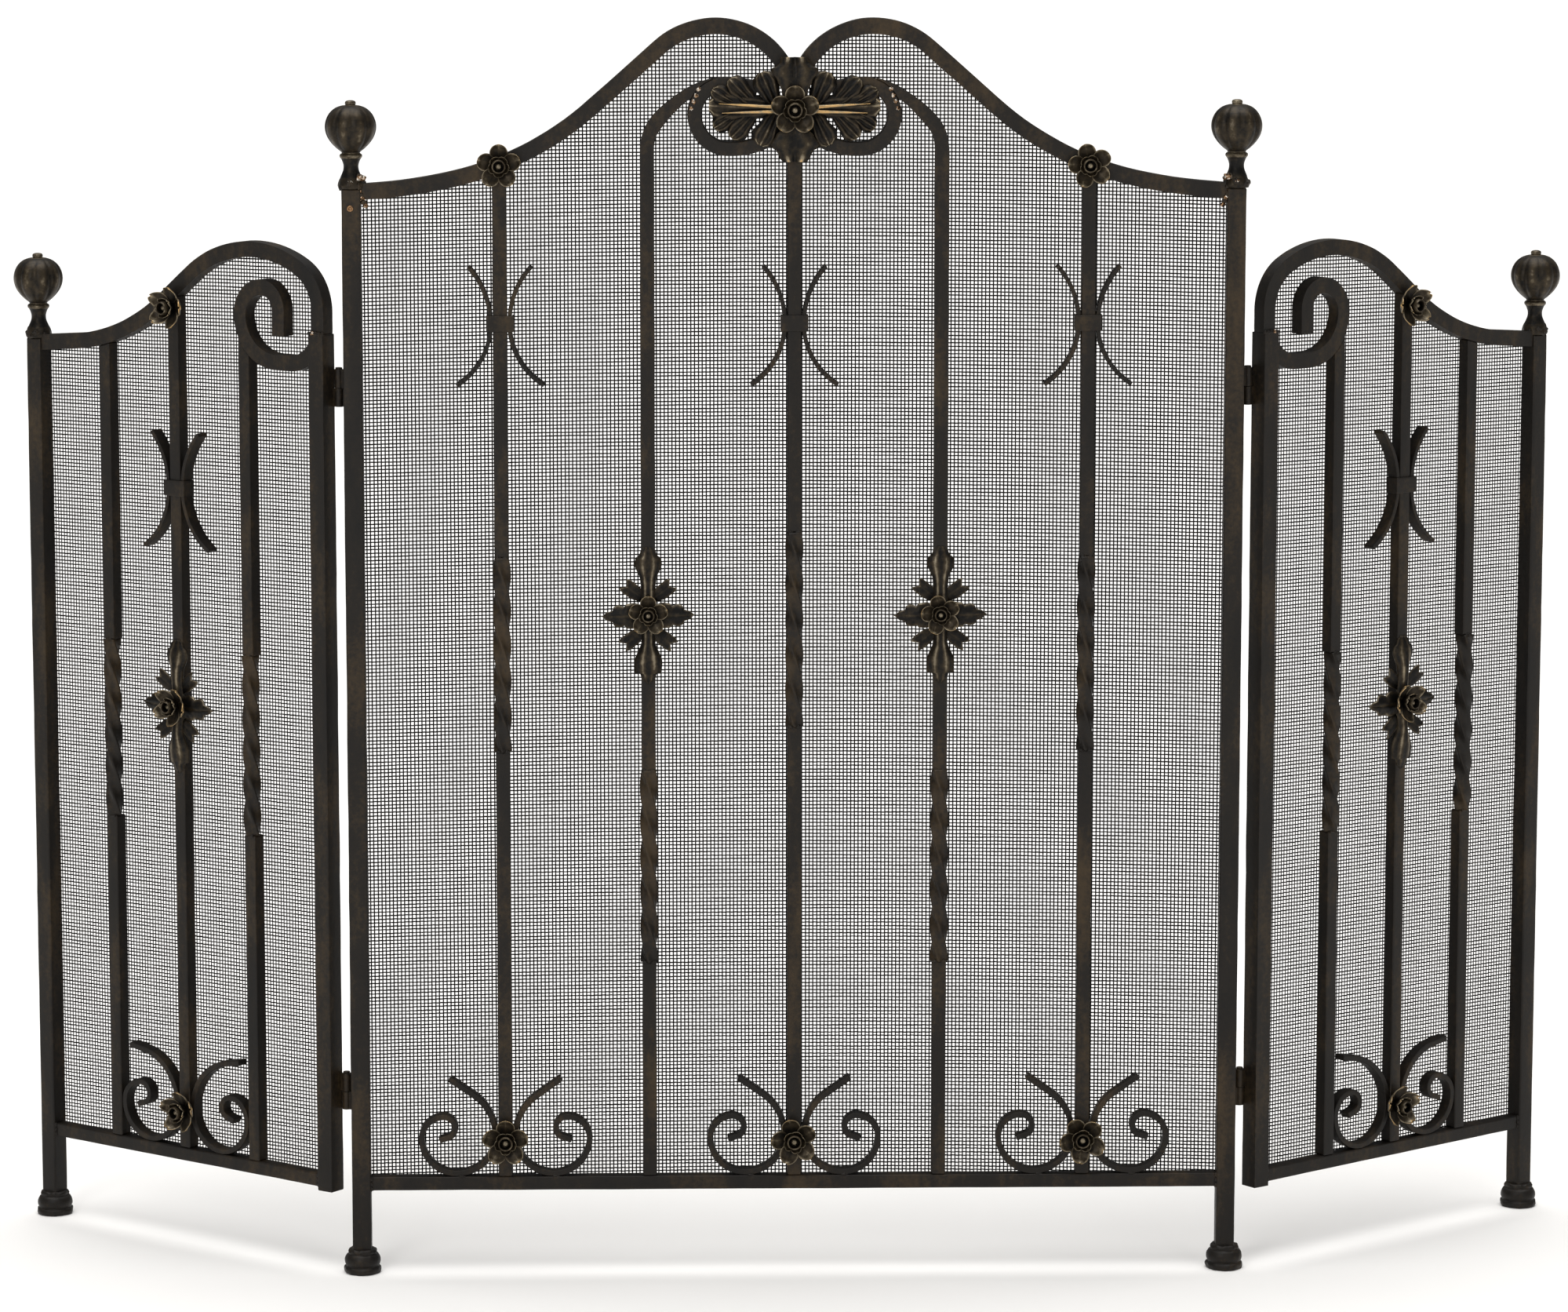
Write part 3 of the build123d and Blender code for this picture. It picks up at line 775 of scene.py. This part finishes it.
def crimped_wire(left, gaps, pitch, wire, crimp):
    """A ring drawn from gap to gap, passing each upright wire on the other side."""
    bm = bmesh.new()
    bmesh.ops.create_circle(bm, segments=3, radius=wire / 3 ** 0.5,
                            matrix=Matrix.Translation((left, -crimp, 0))
                            @ Matrix.Rotation(pi / 2, 4, "Y"))
    edges = bm.edges[:]
    for index in range(gaps):
        made = bmesh.ops.extrude_edge_only(bm, edges=edges)["geom"]
        verts = only(BMVert, made)
        side = 2 * crimp if index % 2 == 0 else -2 * crimp
        bmesh.ops.translate(bm, verts=verts, vec=(pitch, side, 0))
        edges = [e for e in only(BMEdge, made) if all(v in verts for v in e.verts)]
    return as_mesh(bm, "strand")


def upright_wire(wire):
    """A straight wire, one metre tall."""
    bm = bmesh.new()
    bmesh.ops.create_circle(bm, cap_ends=True, segments=4, radius=wire * 0.5)
    lifted = bmesh.ops.extrude_face_region(bm, geom=bm.faces[:])["geom"]
    bmesh.ops.translate(bm, verts=only(BMVert, lifted), vec=(0, 0, 1))
    return as_mesh(bm, "upright")


def cloth(name, body, node, first, last, sag, fall):
    """Plain weave: crimped wires over and under straight ones, cut to the sheet's outline.

    first and last say which share of the width is made. The wires across drop by sag times
    the square of x, and by fall times the way from the left edge."""
    sizes = bpy.context.scene.fire_screen_sizes
    wire, weft = sizes.wire_diameter, sizes.weft_pitch
    source = cad_copy(body, node)
    low, high = bounds_of(source)
    sheet = BVHTree.FromBMesh(source)
    source.free()
    ahead = Vector((0, 1, 0))
    front = low.y - 5 * MM

    def inside(x, z):
        return sheet.ray_cast(Vector((x, front, z)), ahead)[0] is not None

    count = round((high.x - low.x) / sizes.warp_pitch)
    pitch = (high.x - low.x) / count
    start, stop = round(first * count), round(last * count)
    level = low.y + 0.85 * wire

    # the wires across, each one the last one turned over
    bm = bmesh.new()
    drop = sag * max(low.x ** 2, high.x ** 2) + abs(fall) * high.x
    rows = int((high.z - low.z + drop) / weft) + 2
    strand = crimped_wire(low.x + start * pitch, stop - start, pitch, wire, 0.48 * wire)
    strand.transform(Matrix.Translation((0, 0, low.z + 0.4 * weft)))
    turn_over = Matrix.Translation((0, 0, weft)) @ Matrix.Scale(-1, 4, (0, 1, 0))
    for _ in range(rows):
        bm.from_mesh(strand)
        strand.transform(turn_over)
    bpy.data.meshes.remove(strand)
    outside = []
    for vert in bm.verts:
        x, z = vert.co.x, vert.co.z
        z -= sag * x * x + fall * (x - low.x)
        wander = noise.noise(Vector((x / (16 * MM), z / (2.1 * MM), 0))) * 0.20 * MM
        vert.co.z = z + wander
        vert.co.y += level
        if not inside(min(max(x, low.x + 0.1 * MM), high.x - 0.1 * MM), z):
            outside.append(vert)
    bmesh.ops.delete(bm, geom=outside, context="VERTS")
    loose = [v for v in bm.verts if not v.link_faces]
    bmesh.ops.delete(bm, geom=loose, context="VERTS")
    bmesh.ops.holes_fill(bm, edges=[e for e in bm.edges if e.is_boundary], sides=3)

    # the upright wires, each up to the sheet's top edge
    upright = upright_wire(wire)
    for index in range(start, stop):
        x = low.x + (index + 0.5) * pitch
        x += noise.noise(Vector((index * 1.7, 0, 0))) * 0.28 * MM
        top = high.z
        while top > low.z and not inside(x, top - 0.1 * MM):
            top -= 1.5 * MM
        strut = upright.copy()
        strut.transform(Matrix.Translation((x, level, low.z))
                        @ Matrix.Scale(top - low.z, 4, (0, 0, 1)))
        bm.from_mesh(strut)
        bpy.data.meshes.remove(strut)
    bpy.data.meshes.remove(upright)
    bmesh.ops.recalc_face_normals(bm, faces=bm.faces)
    keep(bm, name, body, [node], oxide_wire())


# ---- what a user can change

def colour(name, code, description):
    return bpy.props.FloatVectorProperty(name=name, description=description, subtype="COLOR",
                                         size=3, min=0, max=1, default=srgb(code))


def length(name, millimetres, description):
    return bpy.props.FloatProperty(name=name, description=description, unit="LENGTH",
                                   subtype="DISTANCE", default=millimetres * MM, precision=5)


class FireScreenFinish(bpy.types.PropertyGroup):
    """Colours of the iron, the leaves and the wire"""
    iron_dark: colour("Iron, dark", "#090705", "Blackened iron where the wax lies thick")
    iron_brown: colour("Iron, brown", "#17120c", "Blackened iron on the flats")
    iron_rub: colour("Iron, rubbed", "#382c1b", "Olive brown where the finish is rubbed thin")
    leaf_brown: colour("Leaf, brown", "#352c1e", "Wiped paste in the hollows of the leaves")
    # leaf steel and leaf gold are partly rubbed finish and partly painted highlight on the raised
    # parts, ridges and rims
    leaf_steel: colour("Leaf, steel", "#857a66", "Thin finish on the raised parts of the leaves")
    leaf_gold: colour("Leaf, gold", "#c09c66", "Gold-brown ridges and rims")
    wire_dark: colour("Wire, dark", "#0a0908", "Oxide on the woven wire")
    wire_brown: colour("Wire, brown", "#140f0c", "Warmer patches on the woven wire")
    weld_tan: colour("Weld, tan", "#8a6a4c", "Heat tint on bare welds")
    # the weld silver is a painted glint on bare weld metal
    weld_silver_glint: colour("Weld, silver", "#c9c4ba", "Bare weld metal")


class FireScreenSizes(bpy.types.PropertyGroup):
    """Sizes of the visible work that the frame leaves open"""
    post_round: length("Post edge", 1.3, "How far the edges of the posts are worn round")
    bar_round: length("Bar edge", 1.1, "How far the edges of the bars are worn round")
    strap_round: length("Strap edge", 0.55, "How far the edges of the straps are worn round")
    wire_diameter: length("Wire", 0.9, "Thickness of the woven wire")
    warp_pitch: length("Warp pitch", 2.54, "Spacing of the upright wires")
    weft_pitch: length("Weft pitch", 2.44, "Spacing of the wires across")
    twist_turns: bpy.props.FloatProperty(name="Twist", description="Turns in each twisted length",
                                         default=1.37, min=0)


class FireScreenStage(bpy.types.PropertyGroup):
    """Floor, lights and camera"""
    lens: bpy.props.FloatProperty(name="Lens", description="Focal length",
                                  subtype="DISTANCE_CAMERA", default=129.2)
    key: bpy.props.FloatProperty(name="Key light", description="Strength of the large soft light",
                                 default=34.0, min=0)
    overhead: bpy.props.FloatProperty(name="Overhead", default=3.3, min=0,
                                      description="Strength of the light on the floor")
    sky: bpy.props.FloatProperty(name="Room light", description="Strength of the even room light",
                                 default=0.25, min=0)
    paper: colour("Floor", "#f4f2ef", "Plain pale floor")


# ---- operators

class FIRESCREEN_OT_bars(bpy.types.Operator):
    """Posts, rails, bars, scrolls and straps of forged bar"""
    bl_idname = "fire_screen.bars"
    bl_label = "Forged bars"

    def execute(self, context):
        sizes = context.scene.fire_screen_sizes
        post, bar, strap = sizes.post_round, sizes.bar_round, sizes.strap_round
        centre = {
            "left_post": post, "right_post": post, "bottom_rail": bar, "left_top_rail": bar,
            "right_top_rail": bar, "left_crest_scroll": bar, "right_crest_scroll": bar,
            "centre_upper_bars": bar, "centre_lower_bars": bar, "left_bent_bar": bar,
            "right_bent_bar": bar, "centre_base_scrolls": strap,
        }
        for node, offset in centre.items():
            forged(f"{node}_forged", "centre_panel", [node], offset)
        for node in ("centre_x_straps", "centre_x_collars"):
            forged(node + "_forged", "centre_panel", [node], strap)
        wing = {
            "post": post, "stile": post, "top_rail": bar, "bottom_rail": bar, "middle_bar": bar,
            "inner_bar": bar, "outer_bar": bar, "base_scrolls": strap,
        }
        for body in WINGS:
            for part, offset in wing.items():
                node = f"{body}_{part}"
                forged(node + "_forged", body, [node], offset)
            node = f"{body}_x_ornament"
            forged(node + "_forged", body, [node], strap)
        return {"FINISHED"}


class FIRESCREEN_OT_twists(bpy.types.Operator):
    """Twisted lengths of the bars"""
    bl_idname = "fire_screen.twists"
    bl_label = "Twisted lengths"

    def execute(self, context):
        turns = context.scene.fire_screen_sizes.twist_turns
        for body, node in on_each(["centre_twisted_bars"], "twisted_bars"):
            bm = bmesh.new()
            for box in solid_boxes(body, node):
                join(bm, twisted_length(box, -WINGS.get(body, 1), turns))
            hammer(bm, 0.15 * MM)
            # the twisted iron is painted a little lighter, a painted sheen for the highlights on
            # its ridges
            keep(bm, node + "_wrung", body, [node],
                 waxed_iron("Waxed twisted iron", 0.05))
        return {"FINISHED"}


class FIRESCREEN_OT_turned(bpy.types.Operator):
    """Ball finials and bun feet"""
    bl_idname = "fire_screen.turned"
    bl_label = "Finials and feet"

    def execute(self, context):
        jobs = [("centre_panel", "centre_finials", "centre_feet")]
        jobs += [(body, f"{body}_finial", f"{body}_foot") for body in WINGS]
        for body, caps, feet in jobs:
            for index, (low, high) in enumerate(solid_boxes(body, caps)):
                bm = turned_finial((low + high) / 2, low.z, high.z)
                keep(bm, f"{caps}_{index + 1}_turned", body, [caps],
                     pressed_iron("Cast finial iron"))
            for index, (low, high) in enumerate(solid_boxes(body, feet)):
                bm = turned_foot((low + high) / 2, high.z)
                keep(bm, f"{feet}_{index + 1}_turned", body, [feet], waxed_iron())
        return {"FINISHED"}


class FIRESCREEN_OT_leaves(bpy.types.Operator):
    """Flowers, leaf sprays and the crest"""
    bl_idname = "fire_screen.leaves"
    bl_label = "Leaves and flowers"

    def execute(self, context):
        finish = pressed_iron()

        def keep_leaf(bm, name, body, node):
            bmesh.ops.recalc_face_normals(bm, faces=bm.faces)
            keep(bm, name, body, [node], finish)
        centre = ("rail_flowers", "spray_flowers", "base_flowers", "crest_flower")
        for body, node in on_each(centre, "flowers"):
            for index, box in enumerate(solid_boxes(body, node)):
                wide, deep, _ = (box[1] - box[0]) / MM
                bm = leaf_mesh()
                # no two flowers side by side stand alike
                rosette(bm, wide / 2, deep * 1.1, on_front(box), 90 + (index % 3) * 14)
                keep_leaf(bm, f"{node}_{index + 1}_petals", body, node)
        for body, node in on_each(["leaf_sprays"], "leaf_spray"):
            for index, box in enumerate(solid_boxes(body, node)):
                bm = leaf_mesh()
                leaf_spray(bm, on_front(box))
                keep_leaf(bm, f"{node}_{index + 1}_pressed", body, node)
        place = on_front(flat_box("crest_flower"))
        place.translation.y = flat_box("crest_acanthus")[1].y
        bm = leaf_mesh()
        for side in (-1, 1):
            acanthus(bm, place, side)
        keep_leaf(bm, "crest_acanthus_pressed", "centre_panel", "crest_acanthus")
        place.translation.y = flat_box("crest_leaf")[1].y
        bm = leaf_mesh()
        crest_leaves(bm, place)
        keep_leaf(bm, "crest_leaf_pressed", "centre_panel", "crest_leaf")
        return {"FINISHED"}


# how far the wires across of the centre cloth have dropped at the posts
CENTRE_DROP = 4.4 * MM
# how far those of a wing's cloth drop, as a share of the way across
WING_DROP = 0.022


class FIRESCREEN_OT_cloth(bpy.types.Operator):
    """Woven wire behind the bars"""
    bl_idname = "fire_screen.cloth"
    bl_label = "Woven wire"

    def execute(self, context):
        low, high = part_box("centre_mesh")
        bars = solid_boxes("centre_panel", "centre_lower_bars")
        splits = [0.0]
        for index in (1, 3):
            middle = (bars[index][0].x + bars[index][1].x) / 2
            splits.append((middle - low.x) / (high.x - low.x))
        splits.append(1.0)
        sag = CENTRE_DROP / high.x ** 2
        for index, (first, last) in enumerate(zip(splits, splits[1:])):
            cloth(f"centre_cloth_{index + 1}", "centre_panel", "centre_mesh", first, last, sag, 0)
        for body in WINGS:
            cloth(f"{body}_cloth", body, f"{body}_mesh", 0, 1, 0, WING_DROP)
        return {"FINISHED"}


class FIRESCREEN_OT_hinges(bpy.types.Operator):
    """Hinge barrels and pins"""
    bl_idname = "fire_screen.hinges"
    bl_label = "Hinges"

    def execute(self, context):
        jobs = [("centre_panel", "post_knuckles", 0.3), ("centre_panel", "hinge_pins", 0.25)]
        jobs += [(body, f"{body}_knuckles", 0.3) for body in WINGS]
        for body, node, offset in jobs:
            forged(node + "_rounded", body, [node], offset * MM)
        return {"FINISHED"}


# turn in degrees, height and size of the lumps on the skirts of the centre finials
CENTRE_SKIRT = ((20, 3, 2.4), (75, 1.5, 2.0), (150, 2.5, 2.6), (215, 1, 2.2), (262, 4, 2.4),
                (310, 2, 2.6))
# turn and height of those on the wings' finials
WING_SKIRT = ((200, 2), (245, 4), (285, 1.5), (330, 3), (20, 2), (110, 2))
# outline of the plug: a ring with a dimple
PLUG = [(0.0, 0.15), (0.7, 0.2), (1.2, 0.75), (1.7, 0.8), (2.1, 0.45), (2.2, -0.4)]


class FIRESCREEN_OT_welds(bpy.types.Operator):
    """Weld metal at the joints, and the plug in the left post"""
    bl_idname = "fire_screen.welds"
    bl_label = "Welds"

    def execute(self, context):
        front = -BAR / 2
        # the bright lumps take the silver of bare weld metal, a painted glint
        dark, bright = bmesh.new(), bmesh.new()
        for index, box in enumerate(solid_boxes("centre_panel", "centre_finials")):
            low, high = box
            middle, inward = (low.x + high.x) / 2, 1 if low.x < 0 else -1
            for turn, height, size in CENTRE_SKIRT:
                weld_lump(dark, round_skirt(box, height, turn, 7.4), (size, size * 0.8, size),
                          index + turn)
            weld_lump(bright, Vector((middle + inward * 6.4 * MM, -5.4 * MM, low.z + 7.4 * MM)),
                      (3.4, 2.6, 2.4), 3 + index)
            weld_lump(bright, Vector((middle - 0.5 * MM, -8.0 * MM, low.z + 4.6 * MM)),
                      (1.8, 0.9, 1.1), 9 + index)
            # where the top rail and the bottom rail meet the post
            edge = middle + inward * POST / 2
            weld_run([bright, dark, bright, dark, bright],
                     (edge - inward * 1.32 * MM, front, low.z - 1.5 * MM),
                     (inward * 1.1, 0, -2.4), (1.9, 1.1, 1.6), 20 + index)
            weld_run([dark] * 3, (edge, front, RAIL_LOW.z + BAR / 2 - 3.4 * MM), (0, 0, 3.4),
                     (1.5, 0.9, 1.9), 40 + index)
        for node in ("left_crest_scroll", "right_crest_scroll"):
            low, high = flat_box(node)
            outer, inward = (low.x, 1) if low.x < 0 else (high.x, -1)
            weld_run([bright] * 4,
                     (outer + inward * 2.5 * MM, front + 0.2 * MM, high.z - 20.5 * MM),
                     (inward * 1.6, 0, 4.2), (1.5, 0.8, 1.5), 60)
        rail_top = flat_box("bottom_rail")[1].z
        for low, high in solid_boxes("centre_panel", "centre_base_scrolls"):
            spot = Vector(((low.x + high.x) / 2 + 2 * MM, front + 1 * MM, rail_top))
            weld_lump(dark, spot, (2.6, 1.0, 1.2), 80 + round(low.x / MM))
        for low, high in solid_boxes("centre_panel", "centre_twisted_bars"):
            for z in (low.z, high.z):
                for side in (-1, 1):
                    spot = Vector(((low.x + high.x) / 2 + side * 2.6 * MM, front + 0.3 * MM, z))
                    weld_lump(dark, spot, (2.2, 1.0, 1.3), 90 + side + round(z / MM))
        keep_weld(dark, "centre_welds", "centre_panel", waxed_iron())
        keep_weld(bright, "centre_bare_welds_and_glints", "centre_panel", bare_weld_and_glint())

        plug = bmesh.new()
        outline = smooth_line(PLUG, 3) + [(0.0, -0.4)]
        spun(plug, [(r * MM, z * MM) for r, z in outline], 28)
        low, high = flat_box("left_post")
        spot = ((low.x + high.x) / 2 - 0.6 * MM, low.y, high.z - 12.8 * MM)
        plug.transform(Matrix.Translation(spot) @ FACE_FORWARD)
        keep_weld(plug, "post_plug", "centre_panel", bare_weld_and_glint("Tan plug", True))

        for body in WINGS:
            dark, bright = bmesh.new(), bmesh.new()
            box = solid_boxes(body, f"{body}_finial")[0]
            for turn, height in WING_SKIRT:
                weld_lump(dark, round_skirt(box, height, turn, 7.3), (2.3, 2.0, 2.2), turn)
            low, high = solid_boxes(body, f"{body}_stile")[0]
            weld_run([dark, dark, dark, bright, dark],
                     (low.x + 1 * MM, -POST / 2 + 0.5 * MM, high.z + 0.4 * MM),
                     (2.6, 0, 0), (1.8, 0.9, 1.3), 7)
            low, high = solid_boxes(body, f"{body}_bottom_rail")[0]
            for x in (low.x, high.x):
                weld_run([dark] * 3, (x, front, (low.z + high.z) / 2 - 3.2 * MM), (0, 0, 3.2),
                         (1.4, 0.9, 1.9), 30)
            for low, high in solid_boxes(body, f"{body}_twisted_bars"):
                for z in (low.z, high.z):
                    spot = Vector(((low.x + high.x) / 2, front + 0.3 * MM, z))
                    weld_lump(dark, spot, (3.2, 1.0, 1.3), round(z / MM))
            keep_weld(dark, f"{body}_welds", body, waxed_iron())
            keep_weld(bright, f"{body}_bare_weld_and_glint", body, bare_weld_and_glint())
        return {"FINISHED"}


FLOOR_REACH = 40
# name, spot, width and share of the key light's power
LAMPS = (
    ("key", (-1.5, -3.4, 1.9), 1.4, 1.0),
    ("fill", (1.9, -3.4, 1.2), 1.4, 0.35),
)
LAMP_AIM = Vector((0, 0, 0.4))
CAMERA_SPOT = (-0.0892, -3.7945, 1.0213)
CAMERA_DOWN = radians(8.208)
CAMERA_TURN = radians(-1.189)
CAMERA_SHIFT = (0.005, -0.06)


class FIRESCREEN_OT_stage(bpy.types.Operator):
    """Pale floor, soft lights and the camera"""
    bl_idname = "fire_screen.stage"
    bl_label = "Stage"

    def execute(self, context):
        stage = context.scene.fire_screen_stage
        link = context.scene.collection.objects.link

        def paper(tree, look):
            return add(tree, "BsdfPrincipled", None, Base_Color=(*stage.paper, 1), Roughness=0.9)
        bm = bmesh.new()
        bmesh.ops.create_grid(bm, x_segments=1, y_segments=1, size=FLOOR_REACH)
        mesh = as_mesh(bm, "floor")
        mesh.materials.append(material_of("Matt paper floor", paper))
        floor = bpy.data.objects.new("floor", mesh)
        link(floor)

        world = bpy.data.worlds.new("Room")
        context.scene.world = world
        world.use_nodes = True
        sky = world.node_tree.nodes["Background"]
        sky.inputs["Color"].default_value = (1, 1, 1, 1)
        sky.inputs["Strength"].default_value = stage.sky
        overhead = bpy.data.lights.new("overhead", "SUN")
        overhead.energy = stage.overhead
        overhead.angle = radians(60)
        holder = bpy.data.objects.new("overhead", overhead)
        link(holder)
        for name, spot, size, share in LAMPS:
            lamp = bpy.data.lights.new(name, "AREA")
            lamp.shape = "DISK"
            lamp.size = size
            lamp.energy = share * stage.key
            holder = bpy.data.objects.new(name, lamp)
            holder.location = spot
            aim = LAMP_AIM - Vector(spot)
            holder.rotation_euler = aim.to_track_quat("-Z", "Y").to_euler()
            link(holder)

        context.scene.view_settings.view_transform = "Standard"
        camera = bpy.data.cameras.new("camera")
        camera.sensor_width = 36
        camera.lens = stage.lens
        camera.shift_x, camera.shift_y = CAMERA_SHIFT
        camera.clip_end = 200
        holder = bpy.data.objects.new("camera", camera)
        holder.location = CAMERA_SPOT
        holder.rotation_euler = (pi / 2 - CAMERA_DOWN, 0, CAMERA_TURN)
        link(holder)
        context.scene.camera = holder
        return {"FINISHED"}


class FIRESCREEN_PT_panel(bpy.types.Panel):
    """Steps of the fireplace screen"""
    bl_idname = "FIRESCREEN_PT_panel"
    bl_label = "Fire Screen"
    bl_space_type = "VIEW_3D"
    bl_region_type = "UI"
    bl_category = "Fire Screen"

    def draw(self, context):
        layout = self.layout
        for group in (context.scene.fire_screen_sizes, context.scene.fire_screen_finish,
                      context.scene.fire_screen_stage):
            column = layout.column()
            for name in group.bl_rna.properties.keys():
                if name not in ("rna_type", "name"):
                    column.prop(group, name)
        for operator in OPERATORS:
            layout.operator(operator.bl_idname)


OPERATORS = (
    FIRESCREEN_OT_bars,
    FIRESCREEN_OT_twists,
    FIRESCREEN_OT_turned,
    FIRESCREEN_OT_leaves,
    FIRESCREEN_OT_cloth,
    FIRESCREEN_OT_hinges,
    FIRESCREEN_OT_welds,
    FIRESCREEN_OT_stage,
)
CLASSES = (FireScreenFinish, FireScreenSizes, FireScreenStage, *OPERATORS, FIRESCREEN_PT_panel)


def register():
    for cls in CLASSES:
        bpy.utils.register_class(cls)
    scene = bpy.types.Scene
    scene.fire_screen_finish = bpy.props.PointerProperty(type=FireScreenFinish)
    scene.fire_screen_sizes = bpy.props.PointerProperty(type=FireScreenSizes)
    scene.fire_screen_stage = bpy.props.PointerProperty(type=FireScreenStage)


def unregister():
    del bpy.types.Scene.fire_screen_finish
    del bpy.types.Scene.fire_screen_sizes
    del bpy.types.Scene.fire_screen_stage
    for cls in reversed(CLASSES):
        bpy.utils.unregister_class(cls)


def main():
    register()
    bpy.ops.fire_screen.bars()
    bpy.ops.fire_screen.twists()
    bpy.ops.fire_screen.turned()
    bpy.ops.fire_screen.leaves()
    bpy.ops.fire_screen.cloth()
    bpy.ops.fire_screen.hinges()
    bpy.ops.fire_screen.welds()
    bpy.ops.fire_screen.stage()


if __name__ == "__main__":
    main()
